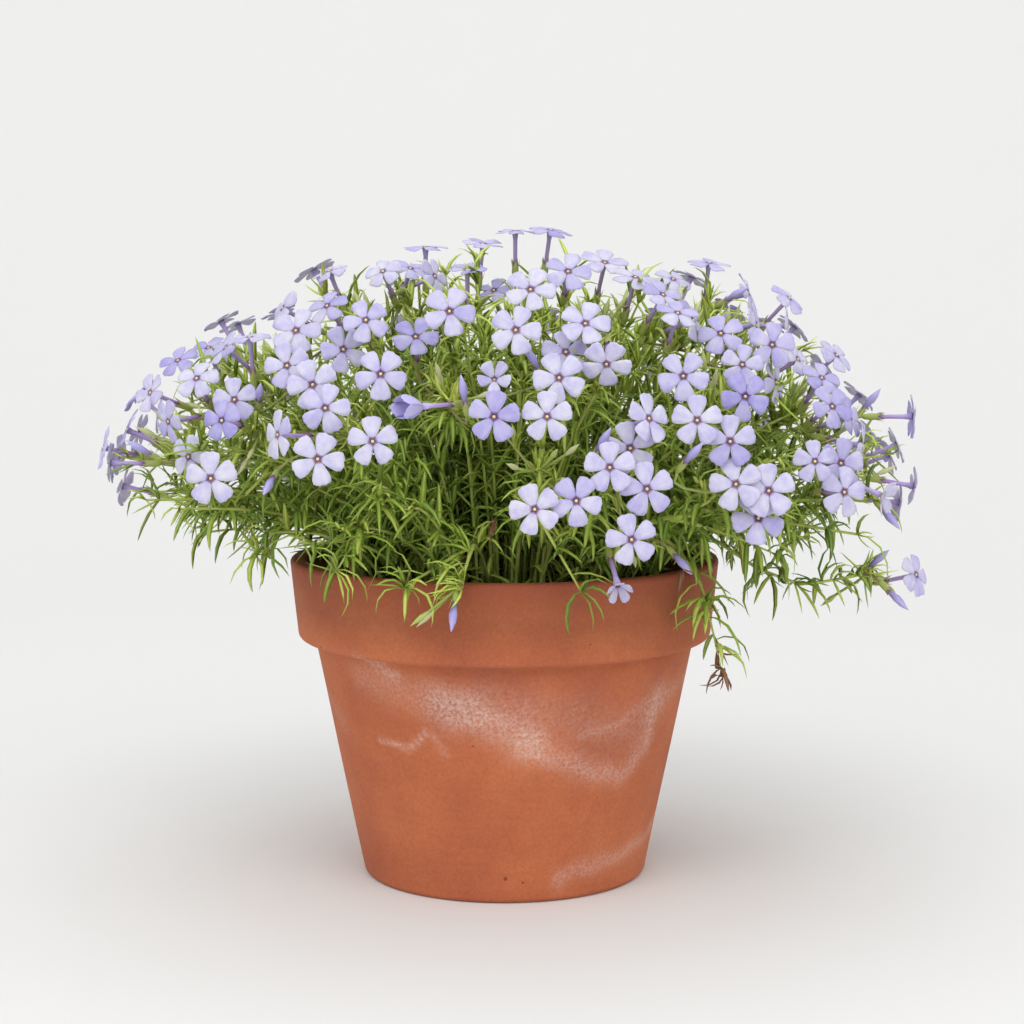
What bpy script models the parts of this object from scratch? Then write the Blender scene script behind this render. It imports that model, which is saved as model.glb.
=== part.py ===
"""A mound of pale violet phlox in flower, rooted in compost in a round clay pot.

Sizes are named in millimetres and every mesh is written in metres. The pot stands
on z = 0, centred on the z axis, and the side with the open lip faces -Y.
"""

import math
import random
from itertools import permutations

import bmesh
import bpy
from mathutils import Matrix, Vector
from mathutils.bvhtree import BVHTree

MM = 0.001
UP = Vector((0.0, 0.0, 1.0))
SEED = 20

# The pot: a flaring body under a deep rim with a rounded lip and a drain hole.
POT_HEIGHT = 119.1
POT_RIM_RADIUS = 80.0
POT_WALL = 6.0
RIM_FOOT_HEIGHT = 89.4
RIM_FOOT_RADIUS = 76.6
POT_NECK_RADIUS = 71.0
POT_BASE_RADIUS = 52.8
POT_FLOOR = 8.0
DRAIN_RADIUS = 7.0
POT_SIDES = 32
CREASE = math.radians(35)

# The compost: a crumbly bed that fills the pot to just under its lip.
SOIL_TOP = 108.0
SOIL_CRUMB = 1.6
SOIL_SIDES = 14
SOIL_GAP = 0.6
HOLE_RADIUS = 2.9
HOLE_DEPTH = 9.0
HOLE_SIDES = 4

# The mound: the half sizes of the egg shape that the open flowers lie on.
MOUND_X = 150.0
MOUND_Y = 130.0
MOUND_Z = 100.0
MOUND_MIDDLE = 140.0

# One flower: five petals on a slender tube that stands in a narrow green cup.
PETALS = 5
PETAL_RADIUS = 8.7
SHOULDER_RADIUS = 7.6
SHOULDER_SPREAD = math.radians(24)
PETAL_CURL = 0.5
SINUS_RADIUS = 2.0
SINUS_DROP = 0.8
KEEL_RADIUS = 4.8
KEEL_DROP = 0.9
NECK_DROP = 2.0
NECK_RADIUS = 1.0
TUBE_LENGTH = 9.5
CUP_LENGTH = 7.5
CUP_RADIUS = 1.5
TUBE_SIDES = 3

# One bud: a furled spindle in the same green cup.
BUD_LENGTH = 8.0
BUD_CUP = 6.0
BUD_RADIUS = 1.6

# The stalks: a leafy stem in the compost, and above it the spray's own stalk.
STEM_RADIUS = 1.3
TIP_RADIUS = 0.95
STEM_SIDES = 4
STALK_RADIUS = 1.1
STALK_GAP = 0.45
JOINT = 1.7
BAND_STEP = 5.0
HUB_DEPTH = 6.0
ROOT_SHARE = 0.37
ROOT_LIMIT = 57.0
ROOT_SPACING = 7.5

# The leaves: narrow and pointed, in whorls of pairs up every stem.
LEAF_LENGTH = 17.5
LEAF_DROOP = 4.0
LEAF_PARTING = 0.45
LEAF_TRIES = 9
FIRST_WHORL = 14.0
WHORL_STEP = 17.0
BRANCH_STEP = 12.5
LAST_WHORL = 5.0

LEAF_LIFT = (0.15, 0.75)
LEAF_STRAY = 0.22
FIRST_BRANCH_WHORL = 9.0
BRANCH_SINK = 0.7

# Room left round every piece that grows, half of the least gap between two.
SPARE = 0.2

# How far one spray, stem, leaf or segment can be from its middle, when neighbours
# are looked for.
SPRAY_REACH = 52.0
STEM_REACH = 90.0
LEAF_REACH = 24.0
WORLD_REACH = 1000.0

# Shares of a stalk or leaf where it stands free of its kin, and where it merely
# leaves what it grows from.
FREE_STALK = 0.4
FREE_LEAF = 0.3
FREE_BRANCH = 0.6
ROOTED = 0.05

# How many points a stem's way is kept as, and how many tries each piece gets.
PATH_POINTS = 40
HEAD_TRIES = 90
HUB_TRIES = 60
STEM_TRIES = 80

# Open flowers that the front shows, a spray at a time. Each is its place across and
# up, its depth behind the mound's front, and which way it looks: the turn from the
# front toward +X and the rise above level, in degrees.
FRONT_FLOWERS = (
    ((-146, 154, 18, -90, 0), (-141, 166, 30, -80, 25), (-117, 173, 14, -50, -5),
     (-126, 182, 8, -45, 20)),
    ((-128, 172, 46, -75, 10), (-121, 192, 34, -30, 50), (-112, 196, 62, -30, 60),
     (-107, 188, 12, -15, 40), (-99, 198, 26, -60, 40)),
    ((-91, 182, 9, -10, 15), (-96, 176, 0, -20, 10), (-97, 157, 0, -10, 5),
     (-108, 162, 15, -30, 0), (-74, 172, 2, -55, 5)),
    ((-89, 202, 18, -20, 80), (-79, 212, 26, -65, 30), (-72, 194, 0, -8, 15),
     (-71, 205, 9, -12, 28)),
    ((-63, 188, 4, 0, 15), (-58, 181, 0, 0, 12), (-60, 165, 0, 4, 8),
     (-54, 199, 14, 20, 10), (-42, 171, 0, 0, 8), (-40, 192, 0, 4, 15)),
    ((-64, 225, 30, -50, 65), (-43, 225, 22, -20, 45), (-46, 209, 0, 0, 25),
     (-62, 213, 24, -30, 40), (-34, 226, 42, 35, 60)),
    ((-29, 234, 32, 0, 85), (-25, 224, 40, 60, 20), (-18, 212, 0, 5, 20),
     (-13, 226, 26, 0, 75), (-8, 235, 48, 25, 75)),
    ((4, 240, 12, 0, 85), (17, 240, 4, 30, 75), (9, 219, 4, 0, 35),
     (4, 206, 0, 0, 18), (-6, 229, 72, -20, 60)),
    ((22, 225, 4, 5, 38), (36, 228, 26, 20, 60), (46, 223, 16, 30, 65),
     (27, 208, 0, 4, 38), (55, 217, 12, 35, 50)),
    ((59, 211, 4, 20, 55), (62, 222, 46, 30, 55), (76, 228, 4, 20, 75),
     (74, 204, 8, -10, 35), (66, 208, 26, 60, 20)),
    ((90, 217, 24, 75, 20), (89, 206, 18, 70, 5), (106, 215, 4, 60, 45),
     (104, 205, 30, 80, 0), (92, 200, 2, 8, 18)),
    ((80, 194, 2, 4, 15), (80, 184, 0, 8, 10), (59, 191, 0, -4, 18),
     (63, 177, 0, 4, 10), (94, 187, 20, 60, 10)),
    ((123, 194, 22, 50, 40), (104, 194, 22, 55, 30), (118, 185, 44, 60, 30),
     (111, 188, 10, 30, 45), (116, 179, 2, 30, 20)),
    ((122, 174, 16, 60, 20), (126, 164, 14, 75, -10), (152, 171, 0, 90, 0),
     (104, 162, 0, 10, 8), (115, 160, 6, 22, 10)),
    ((115, 151, 0, 25, 5), (153, 145, 0, 88, -10), (132, 147, 8, 60, -20)),
    ((74, 170, 0, 4, 6), (76, 156, 4, 0, 8), (87, 154, 0, 6, 8), (84, 145, 4, 4, 5)),
    ((47, 178, 0, 42, 18), (40, 170, 10, 0, 0), (34, 163, 0, 0, 10),
     (46, 156, 0, 5, 8), (41, 140, 0, 4, 4)),
    ((10, 150, 2, -8, 8), (23, 153, 0, 0, 10), (-3, 179, 0, 0, 8), (14, 179, 0, 0, 8)),
    ((18, 191, 0, 0, 15), (21, 199, 12, 10, 30), (34, 197, 0, 0, -40),
     (-3, 190, 9, 0, 20)),
    ((-26, 182, 2, -45, 0), (-30, 203, 26, 0, 40)),
)

# Buds of the same sprays, by the spray's number, placed the same way.
FRONT_BUDS = {
    0: ((-130, 163, 16, -80, 30),),
    3: ((-83, 187, 6, 10, 40),),
    4: ((-76, 157, 2, -20, -40),),
    9: ((84, 217, 16, 60, 30),),
    13: ((134, 179, 10, 60, 50),),
    14: ((138, 137, 10, 60, -45),),
    15: ((62, 167, 2, 50, 45),),
    16: ((33, 174, 4, 40, 50),),
    18: ((17, 204, 4, -20, 50),),
    19: ((-15, 192, 2, -10, 75),),
}

# Flowers that are half open or wilted, by spray and place in it: their size and how
# far the petals fold forward.
HALF_OPEN = {(14, 2): (0.8, 1.6), (18, 3): (0.65, 1.8), (19, 0): (0.8, 1.8), (21, 0): (0.6, 2.0)}

# Sprays on trailing stems that hang over the rim: flowers and buds as (x, y, z,
# turn, rise), then the stem's way over the rim as (x, y, z), up to the spray.
TRAILING = (
    (((150, -25, 115, 50, 15),), ((142, -36, 107, 60, -40), (136, -30, 122, 50, 40)),
     ((66, -24, 130), (82, -28, 125), (96, -30, 115), (112, -30, 112), (131, -28, 116))),
    (((38, -93, 121, 10, -35),), ((61, -82, 126, 40, -35),), ((34, -46, 122), (44, -66, 132))),
    ((), ((-17, -95, 110, -20, -70),), ((-9, -60, 130), (-12, -84, 130), (-14, -91, 120))),
)

# Round the back the sprays follow a rule: rows of them at even steps of azimuth.
BACK_ROWS = ((158.0, (8, 50, 90, 130, 172)), (204.0, (26, 68, 112, 154)))
BACK_OFFSETS = ((0, 0), (20, 4), (-20, 2), (8, 19), (-9, -18))

# Which sprays one stem carries, by number: the first at its tip, the rest on
# branches. The trailing sprays follow the front ones and the back sprays come last.
STEMS = (
    (0,), (1,), (2,), (3,), (4,), (5,), (6, 19), (7,), (8, 18), (9,), (10,), (11,),
    (12,), (13, 14), (15,), (16,), (17,), (20,), (21,), (22,), (23, 28), (24, 29),
    (25, 30), (26, 31), (27,),
)

# Shoots with no flowers that fill the mound's foot and its middle: the stem that each
# leaves and its way, which ends at its tip.
BARREN_SHOOTS = (
    (2, ((-104, -46, 138),)), (0, ((-112, -8, 152),)), (2, ((-88, -62, 126),)),
    (4, ((-58, -92, 124),)), (19, ((-34, -96, 119),)), (16, ((27, -96, 117),)),
    (14, ((100, -52, 124),)), (13, ((120, -24, 136),)),
    (14, ((61, -46, 128), (69, -53, 116), (73, -55, 101), (77, -57, 83))),
    (20, ((116, 30, 134),)), (21, ((66, 92, 128),)), (22, ((8, 110, 124),)),
    (23, ((-70, 88, 126),)), (24, ((-118, 26, 132),)),
    (7, ((4, 30, 196),)), (6, ((-30, 22, 178),)), (8, ((36, 20, 182),)),
    (22, ((4, 62, 170),)),
)

# How far a shoot's tip bends up or down for each step outward: the shoots at the foot
# hang, and those in the middle, whose tips are above the given height, reach up.
FOOT_BEND = -0.35
MIDDLE_BEND = 1.5
MIDDLE_HEIGHT = 160.0


class Shell:
    """A closed surface, kept as plain points and triangles while it grows."""

    def __init__(self):
        self.points = []
        self.faces = []
        self.leaves = []

    def point(self, place):
        self.points.append(Vector(place))
        return len(self.points) - 1

    def ring(self, centre, axis, side, radius, count):
        """Points round an axis, the first of them toward side."""
        across = (side - axis * side.dot(axis)).normalized()
        along = axis.cross(across)
        steps = [2.0 * math.pi * k / count for k in range(count)]
        return [self.point(centre + radius * (math.cos(a) * across + math.sin(a) * along))
                for a in steps]

    def bridge(self, low, high):
        """Joins two rings, whose counts may differ, from their first points on."""
        i = j = 0
        while i < len(low) or j < len(high):
            if j == len(high) or (i < len(low) and (i + 1) * len(high) <= (j + 1) * len(low)):
                self.faces.append((low[i], low[(i + 1) % len(low)], high[j % len(high)]))
                i += 1
            else:
                self.faces.append((low[i % len(low)], high[(j + 1) % len(high)], high[j]))
                j += 1

    def point_up(self, ring, tip):
        top = self.point(tip)
        for k in range(len(ring)):
            self.faces.append((ring[k], ring[(k + 1) % len(ring)], top))

    def leaf(self, corners, tip):
        self.leaves.append((len(self.faces), tuple(corners)))
        self.point_up(corners, tip)

    def cap(self, ring):
        for k in range(1, len(ring) - 1):
            self.faces.append((ring[0], ring[k], ring[k + 1]))

    def middle(self, ring):
        return sum((self.points[k] for k in ring), Vector()) / len(ring)

    def tree(self):
        return BVHTree.FromPolygons(self.points, self.faces)


def look(turn, rise):
    """The direction that a flower faces, from its turn and rise in degrees."""
    t, r = math.radians(turn), math.radians(rise)
    return Vector((math.sin(t) * math.cos(r), -math.cos(t) * math.cos(r), math.sin(r)))


def front_place(across, up, behind):
    """A place so far behind the front of the mound."""
    left = 1.0 - (across / MOUND_X) ** 2 - ((up - MOUND_MIDDLE) / MOUND_Z) ** 2
    return Vector((across, behind - MOUND_Y * math.sqrt(max(left, 0.0)), up))


def back_place(azimuth, up):
    """A place on the back of the mound, its azimuth counted from +X."""
    waist = math.sqrt(max(1.0 - ((up - MOUND_MIDDLE) / MOUND_Z) ** 2, 0.0))
    return Vector((MOUND_X * waist * math.cos(azimuth), MOUND_Y * waist * math.sin(azimuth), up))


def flower_at(place, axis, draw, bud=False):
    return {"centre": place, "axis": axis, "bud": bud, "size": draw.uniform(0.94, 1.05),
            "roll": draw.uniform(-0.45, 0.45), "cupping": draw.uniform(-0.25, 0.45)}


def front_sprays(draw):
    sprays = []
    for number, flowers in enumerate(FRONT_FLOWERS):
        heads = [flower_at(front_place(x, z, b), look(t, r), draw) for x, z, b, t, r in flowers]
        heads += [flower_at(front_place(x, z, b), look(t, r), draw, True)
                  for x, z, b, t, r in FRONT_BUDS.get(number, ())]
        sprays.append({"heads": heads, "way": ()})
    return sprays


def trailing_sprays(draw):
    sprays = []
    for flowers, buds, way in TRAILING:
        heads = [flower_at(Vector((x, y, z)), look(t, r), draw) for x, y, z, t, r in flowers]
        heads += [flower_at(Vector((x, y, z)), look(t, r), draw, True) for x, y, z, t, r in buds]
        sprays.append({"heads": heads, "way": way})
    return sprays


def back_sprays(draw):
    sprays = []
    for up, azimuths in BACK_ROWS:
        for azimuth in azimuths:
            heads = []
            for sideways, rise in BACK_OFFSETS:
                middle = back_place(math.radians(azimuth), up)
                step = (sideways + draw.uniform(-3, 3)) / Vector((middle.x, middle.y)).length
                height = up + rise + draw.uniform(-3, 3)
                place = back_place(math.radians(azimuth) + step, height)
                outward = Vector((place.x, place.y, 0.0)).normalized()
                lift = math.radians((height - 130.0) * 0.75 + draw.uniform(-12, 12))
                axis = outward * math.cos(lift) + UP * math.sin(lift)
                heads.append(flower_at(place, axis.normalized(), draw))
            sprays.append({"heads": heads, "way": ()})
    return sprays


def head_foot(head):
    """Where the green cup of a flower or bud starts."""
    below = BUD_CUP + 0.5 * BUD_LENGTH if head["bud"] else NECK_DROP + TUBE_LENGTH + CUP_LENGTH
    return head["centre"] - head["axis"] * below


def grow_cup(shell, base, head, spare):
    """The flower stalk, up to the foot of the green cup."""
    start = shell.middle(base)
    foot = head_foot(head)
    lean = ((foot - start).normalized() + head["axis"]).normalized()
    side = shell.points[base[0]] - start
    cup = shell.ring(foot, lean, side, CUP_RADIUS + spare, TUBE_SIDES)
    shell.bridge(base, cup)
    return cup, shell.points[cup[0]] - foot


def grow_bud(shell, base, head, spare=0.0):
    cup, side = grow_cup(shell, base, head, spare)
    belly = shell.ring(head["centre"], head["axis"], side, BUD_RADIUS + spare, TUBE_SIDES)
    shell.bridge(cup, belly)
    shell.point_up(belly, head["centre"] + head["axis"] * (0.6 * BUD_LENGTH))


def grow_flower(shell, base, head, spare=0.0):
    cup, side = grow_cup(shell, base, head, spare)
    centre, axis, size = head["centre"], head["axis"], head["size"]
    neck = shell.ring(centre - axis * NECK_DROP, axis, side, NECK_RADIUS + spare, TUBE_SIDES)
    shell.bridge(cup, neck)
    across = (side - axis * side.dot(axis)).normalized()
    along = axis.cross(across)

    def at(angle, radius, height):
        lift = head["cupping"] * radius * 0.3 + height
        flat = size * radius * (math.cos(angle) * across + math.sin(angle) * along)
        return shell.point(centre + flat + axis * lift)

    slice_angle = 2.0 * math.pi / PETALS
    sinus = [at(head["roll"] + slice_angle * k, SINUS_RADIUS, -SINUS_DROP) for k in range(PETALS)]
    throat = at(0.0, 0.0, spare)
    for k in range(PETALS):
        mid = head["roll"] + slice_angle * (k + 0.5)
        left = at(mid - SHOULDER_SPREAD, SHOULDER_RADIUS + spare, 0.0)
        tip = at(mid, PETAL_RADIUS + spare, -PETAL_CURL)
        right = at(mid + SHOULDER_SPREAD, SHOULDER_RADIUS + spare, 0.0)
        keel = at(mid, KEEL_RADIUS, -KEEL_DROP - PETAL_CURL - spare)
        first, last = sinus[k], sinus[(k + 1) % PETALS]
        shell.faces += [(throat, first, left), (throat, left, tip),
                        (throat, tip, right), (throat, right, last)]
        shell.faces += [(keel, left, first), (keel, tip, left), (keel, right, tip),
                        (keel, last, right), (keel, first, last)]
    shell.bridge(neck, sinus)


def grow_head(shell, base, head, spare=0.0):
    if head["bud"]:
        grow_bud(shell, base, head, spare)
    else:
        grow_flower(shell, base, head, spare)


class Room:
    """What has its place already, so that the next piece keeps clear of it."""

    def __init__(self):
        self.taken = []

    def add(self, tree, centre, reach, owner=None):
        self.taken.append((centre, reach, tree, owner))

    def clashes(self, shell, centre, reach, but=None):
        """How many of a shell's triangles meet another owner's."""
        tree = shell.tree()
        return sum(len(tree.overlap(other)) for place, size, other, owner in self.taken
                   if (place - centre).length < size + reach and (but is None or owner != but))


def test_head(head, hub, share, spare):
    """A flower or bud with the outer part of its stalk."""
    shell = Shell()
    foot = head_foot(head)
    start = hub.lerp(foot, share)
    axis = (foot - start).normalized()
    base = shell.ring(start, axis, axis.orthogonal(), STALK_RADIUS, STEM_SIDES)
    shell.cap(base[::-1])
    grow_head(shell, base, head, spare)
    return shell


def stray_vector(draw):
    return Vector((draw.gauss(0, 1), draw.gauss(0, 1), draw.gauss(0, 1)))


def settle_head(head, hub, room, kin, draw):
    """Moves a flower by the least that clears its neighbours and its own spray's heads."""
    best = None
    for attempt in range(HEAD_TRIES):
        stray = 0.12 * attempt
        trial = dict(head)
        trial["centre"] = (head["centre"] + stray_vector(draw) * (0.4 * stray)
                           - head["axis"] * (stray * draw.uniform(-0.3, 1.0)))
        trial["axis"] = (head["axis"] + stray_vector(draw) * (0.03 * stray)).normalized()
        shell = test_head(trial, hub, FREE_STALK, SPARE)
        whole = test_head(trial, hub, ROOTED, SPARE)
        clash = (kin.clashes(shell, trial["centre"], SPRAY_REACH)
                 + room.clashes(whole, hub, SPRAY_REACH))
        if best is None or clash < best[0]:
            best = (clash, trial, shell)
        if clash == 0:
            break
    head.update(best[1])
    kin.add(best[2].tree(), head["centre"], SPRAY_REACH)


def plan_hub(spray):
    """The point and direction in which a spray's own stalk starts."""
    if spray["way"]:
        before, end = Vector(spray["way"][-2]), Vector(spray["way"][-1])
        spray["axis"] = (end - before).normalized()
        spray["hub"] = end
        return
    feet = [head_foot(head) for head in spray["heads"]]
    mean = sum(feet, Vector()) / len(feet)
    lift = 0.6 + 0.9 * max(0.0, (mean.z - MOUND_MIDDLE) / MOUND_Z)
    spray["axis"] = Vector((mean.x / MOUND_X, mean.y / MOUND_Y, lift)).normalized()
    spray["hub"] = mean - spray["axis"] * HUB_DEPTH


def self_clashes(shell):
    """How many pairs of a shell's triangles cross without a corner in common."""
    tree = shell.tree()
    return sum(1 for a, b in tree.overlap(tree)
               if a < b and not set(shell.faces[a]) & set(shell.faces[b]))


def settle_hub(spray, number, room, draw):
    """Shifts a spray's stalk by the least that keeps its flower stalks apart."""
    best = None
    hub, axis = spray["hub"], spray["axis"]
    for attempt in range(HUB_TRIES):
        stray = 0.15 * attempt
        spray["hub"] = hub + stray_vector(draw) * (0.5 * stray)
        spray["axis"] = (axis + stray_vector(draw) * (0.03 * stray)).normalized()
        seat_heads(spray)
        shell = spray_shell(spray)
        clash = self_clashes(shell) + room.clashes(shell, spray["hub"], SPRAY_REACH)
        if best is None or clash < best[0]:
            best = (clash, spray["hub"], spray["axis"], shell)
        if clash == 0:
            break
    spray["hub"], spray["axis"] = best[1], best[2]
    seat_heads(spray)
    room.add(best[3].tree(), spray["hub"], SPRAY_REACH, ("spray", number))


def seat_heads(spray):
    """Shares a spray's heads out: one at the top, the rest on its stalk's four sides."""
    axis = spray["axis"]
    reach = [(head_foot(head) - spray["hub"]).normalized() for head in spray["heads"]]
    order = sorted(range(len(reach)), key=lambda k: -reach[k].dot(axis))
    top, others = order[0], order[1:]
    across = axis.orthogonal().normalized()
    along = axis.cross(across)
    azimuth = {k: math.atan2(reach[k].dot(along), reach[k].dot(across)) for k in others}
    others.sort(key=lambda k: azimuth[k])
    bands = [others] if len(others) <= STEM_SIDES else [others[::2], others[1::2]]
    spray["top"] = top
    spray["bands"] = [seat_band(band, azimuth) for band in bands]


def seat_band(band, azimuth):
    """Finds the turn and the order in which a whorl's sides face their heads best."""
    best = None
    for step in range(9):
        turn = math.radians(10.0 * step)
        for sides in permutations(range(STEM_SIDES), len(band)):
            cost = 0.0
            for side, k in zip(sides, band):
                faces = turn + math.radians(45 + 90 * side)
                off = (azimuth[k] - faces + math.pi) % (2.0 * math.pi) - math.pi
                cost += off * off
            if best is None or cost < best[0]:
                best = (cost, turn, dict(zip(sides, band)))
    return best[1], best[2]


def spray_shell(spray):
    """One spray: its stalk, flower stalks, cups, tubes, petals and buds as one body."""
    shell = Shell()
    axis = spray["axis"]
    across = axis.orthogonal().normalized()
    along = axis.cross(across)
    centre = spray["hub"]
    low = None
    for turn, seats in spray["bands"]:
        side = across * math.cos(turn) + along * math.sin(turn)
        ring = shell.ring(centre, axis, side, STALK_RADIUS, STEM_SIDES)
        if low is None:
            shell.cap(ring[::-1])
        else:
            shell.bridge(low, ring)
        high = shell.ring(centre + axis * JOINT, axis, side, STALK_RADIUS, STEM_SIDES)
        for k in range(STEM_SIDES):
            n = (k + 1) % STEM_SIDES
            quad = [ring[k], ring[n], high[n], high[k]]
            if k in seats:
                grow_head(shell, quad, spray["heads"][seats[k]])
            else:
                shell.cap(quad)
        low = high
        centre = centre + axis * BAND_STEP
    grow_head(shell, low, spray["heads"][spray["top"]])
    return shell


def plan_sprays(draw, room):
    sprays = front_sprays(draw) + trailing_sprays(draw) + back_sprays(draw)
    for (number, k), (size, cupping) in HALF_OPEN.items():
        sprays[number]["heads"][k].update({"size": size, "cupping": cupping})
    for number, spray in enumerate(sprays):
        plan_hub(spray)
        kin = Room()
        for head in spray["heads"]:
            settle_head(head, spray["hub"], room, kin, draw)
        settle_hub(spray, number, room, draw)
    return sprays


def curve(points):
    """Even points along a smooth curve through the given ones (Catmull-Rom)."""
    ends = [points[0] * 2 - points[1]] + list(points) + [points[-1] * 2 - points[-2]]
    fine = []
    for k in range(1, len(ends) - 2):
        a, b, c, d = ends[k - 1:k + 3]
        for s in range(24):
            t = s / 24.0
            fine.append(0.5 * (2 * b + (c - a) * t + (2 * a - 5 * b + 4 * c - d) * t * t
                               + (3 * b - a - 3 * c + d) * t ** 3))
    fine.append(points[-1])
    return even_points(fine, PATH_POINTS)


def even_points(fine, count):
    """Resamples a fine line at even steps."""
    lengths = [0.0]
    for a, b in zip(fine, fine[1:]):
        lengths.append(lengths[-1] + (b - a).length)
    out = []
    k = 0
    for n in range(count):
        want = lengths[-1] * n / (count - 1)
        while k < len(fine) - 2 and lengths[k + 1] < want:
            k += 1
        share = (want - lengths[k]) / max(lengths[k + 1] - lengths[k], 1e-9)
        out.append(fine[k].lerp(fine[k + 1], share))
    return out


def bow(start, start_way, end, end_way):
    """A cubic curve that leaves and arrives in the given directions."""
    span = (end - start).length
    a = start + start_way * (0.42 * span)
    b = end - end_way * (0.36 * span)
    fine = []
    for n in range(PATH_POINTS):
        t = n / (PATH_POINTS - 1)
        fine.append(start * (1 - t) ** 3 + a * (3 * t * (1 - t) ** 2)
                    + b * (3 * t * t * (1 - t)) + end * t ** 3)
    return even_points(fine, PATH_POINTS)


def test_tube(points, radius):
    """A stem of straight runs between the given points."""
    shell = Shell()
    side = (points[1] - points[0]).orthogonal()
    low = None
    for k, point in enumerate(points):
        axis = (points[min(k + 1, len(points) - 1)] - points[max(k - 1, 0)]).normalized()
        ring = shell.ring(point, axis, side, radius, STEM_SIDES)
        if low is None:
            shell.cap(ring[::-1])
        else:
            shell.bridge(low, ring)
        side = shell.points[ring[0]] - point
        low = ring
    shell.cap(low)
    return shell


def run_points(run):
    """The ends and the joints of a stem or branch, which it is straight between."""
    return [run["path"][0]] + [along_path(run["path"], mark)[0] for mark in run["marks"]] + [
        run["path"][-1]]


def plan_run(path, first, step):
    """A stem or branch with whorls at even steps."""
    length = sum((b - a).length for a, b in zip(path, path[1:]))
    count = max(1, int((length - first - LAST_WHORL) / step) + 1)
    gap = (length - first - LAST_WHORL) / max(count - 1, 1)
    marks = [first + gap * k for k in range(count)]
    return {"path": path, "marks": marks, "length": length, "branches": []}


def settle_run(make, first, step, room, draw, owner):
    """Tries bends of a stem until it passes clear of everything."""
    best = None
    stem = ("stem", owner[1])
    for attempt in range(STEM_TRIES):
        stray = 0.12 * attempt
        run = plan_run(make(stray_vector(draw) * stray), first, step)
        points = run_points(run)
        middle = points[len(points) // 2]
        short = points[:-1] + [points[-1].lerp(points[-2], 0.3)]
        clash = room.clashes(test_tube(short, STEM_RADIUS + SPARE), middle, STEM_REACH, stem)
        if owner[0] == "branch":
            free = [points[0].lerp(points[1], FREE_BRANCH)] + short[1:]
            clash += room.clashes(test_tube(free, STEM_RADIUS + SPARE), middle, STEM_REACH)
        if best is None or clash < best[0]:
            best = (clash, run, points)
        if clash == 0:
            break
    for a, b in zip(best[2], best[2][1:]):
        reach = (b - a).length / 2.0 + 2.0 * STEM_RADIUS
        room.add(test_tube([a, b], STEM_RADIUS + SPARE).tree(), (a + b) / 2.0, reach, stem)
    return best[1], best[0]


def root_place(hub, taken):
    """Where a stem leaves the compost: inward of its spray, clear of the others."""
    flat = Vector((hub.x, hub.y, 0.0)) * ROOT_SHARE
    if flat.length > ROOT_LIMIT:
        flat = flat.normalized() * ROOT_LIMIT
    for step in range(200):
        angle = 2.4 * step
        outward = Vector((math.cos(angle), math.sin(angle), 0.0))
        place = flat + outward * (0.84 * math.sqrt(step))
        clear = all((place - other).length > ROOT_SPACING for other in taken)
        if clear and place.length < ROOT_LIMIT + 3.0:
            break
    taken.append(place)
    return place


def stem_foot(root):
    return Vector((root.x, root.y, SOIL_TOP - HOLE_DEPTH + 1.0))


def main_path(root, spray, wander):
    """The way of a stem from its hole to just under its spray."""
    top = spray["hub"] - spray["axis"] * STALK_GAP
    collar = Vector((root.x, root.y, SOIL_TOP + 3.0))
    if spray["way"]:
        points = [collar] + [Vector(p) + wander * 0.3 for p in spray["way"][:-1]] + [top]
        return [stem_foot(root)] + curve(points)
    outward = Vector((root.x, root.y, 0.0)) / ROOT_LIMIT
    rise = (UP + outward * 0.3).normalized()
    return [stem_foot(root)] + bulge(bow(collar, rise, top, spray["axis"]), wander)


def bulge(line, wander):
    """Bows a line aside, most at its middle."""
    last = len(line) - 1
    return [p + wander * math.sin(math.pi * n / last) for n, p in enumerate(line)]


def branch_path(start, leave, way, top, top_way, wander):
    """The way of a branch from its stem to its spray or tip."""
    if way:
        points = [start, start + leave * 6.0] + [Vector(p) + wander * 0.3 for p in way] + [top]
        return curve(points)
    return bulge(bow(start, leave, top, top_way), wander)


def along_path(path, want):
    """The point and direction at a distance along a path."""
    run = 0.0
    for a, b in zip(path, path[1:]):
        span = (b - a).length
        if run + span >= want:
            return a.lerp(b, (want - run) / max(span, 1e-9)), (b - a).normalized()
        run += span
    return path[-1].copy(), (path[-1] - path[-2]).normalized()


def plan_stems(sprays, draw, room):
    """Settles the way of every stem, branch and barren shoot."""
    stems = []
    roots = []
    for number, carried in enumerate(STEMS):
        spray = sprays[carried[0]]
        root = root_place(spray["hub"], roots)
        stem, _ = settle_run(lambda wander: main_path(root, spray, wander), FIRST_WHORL,
                             WHORL_STEP, room, draw, ("stem", number))
        stem["root"] = root
        stem["end_way"] = spray["axis"]
        stems.append(stem)
    for number, carried in enumerate(STEMS):
        for k in carried[1:]:
            spray = sprays[k]
            top = spray["hub"] - spray["axis"] * STALK_GAP
            plan_branch(stems[number], number, (), top, spray["axis"], True, room, draw)
    for number, way in BARREN_SHOOTS:
        tip = Vector(way[-1])
        bend = MIDDLE_BEND if tip.z > MIDDLE_HEIGHT else FOOT_BEND
        end_way = (Vector((tip.x, tip.y, 0.0)).normalized() + UP * bend).normalized()
        plan_branch(stems[number], number, way[:-1], tip, end_way, False, room, draw)
    return stems


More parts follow.
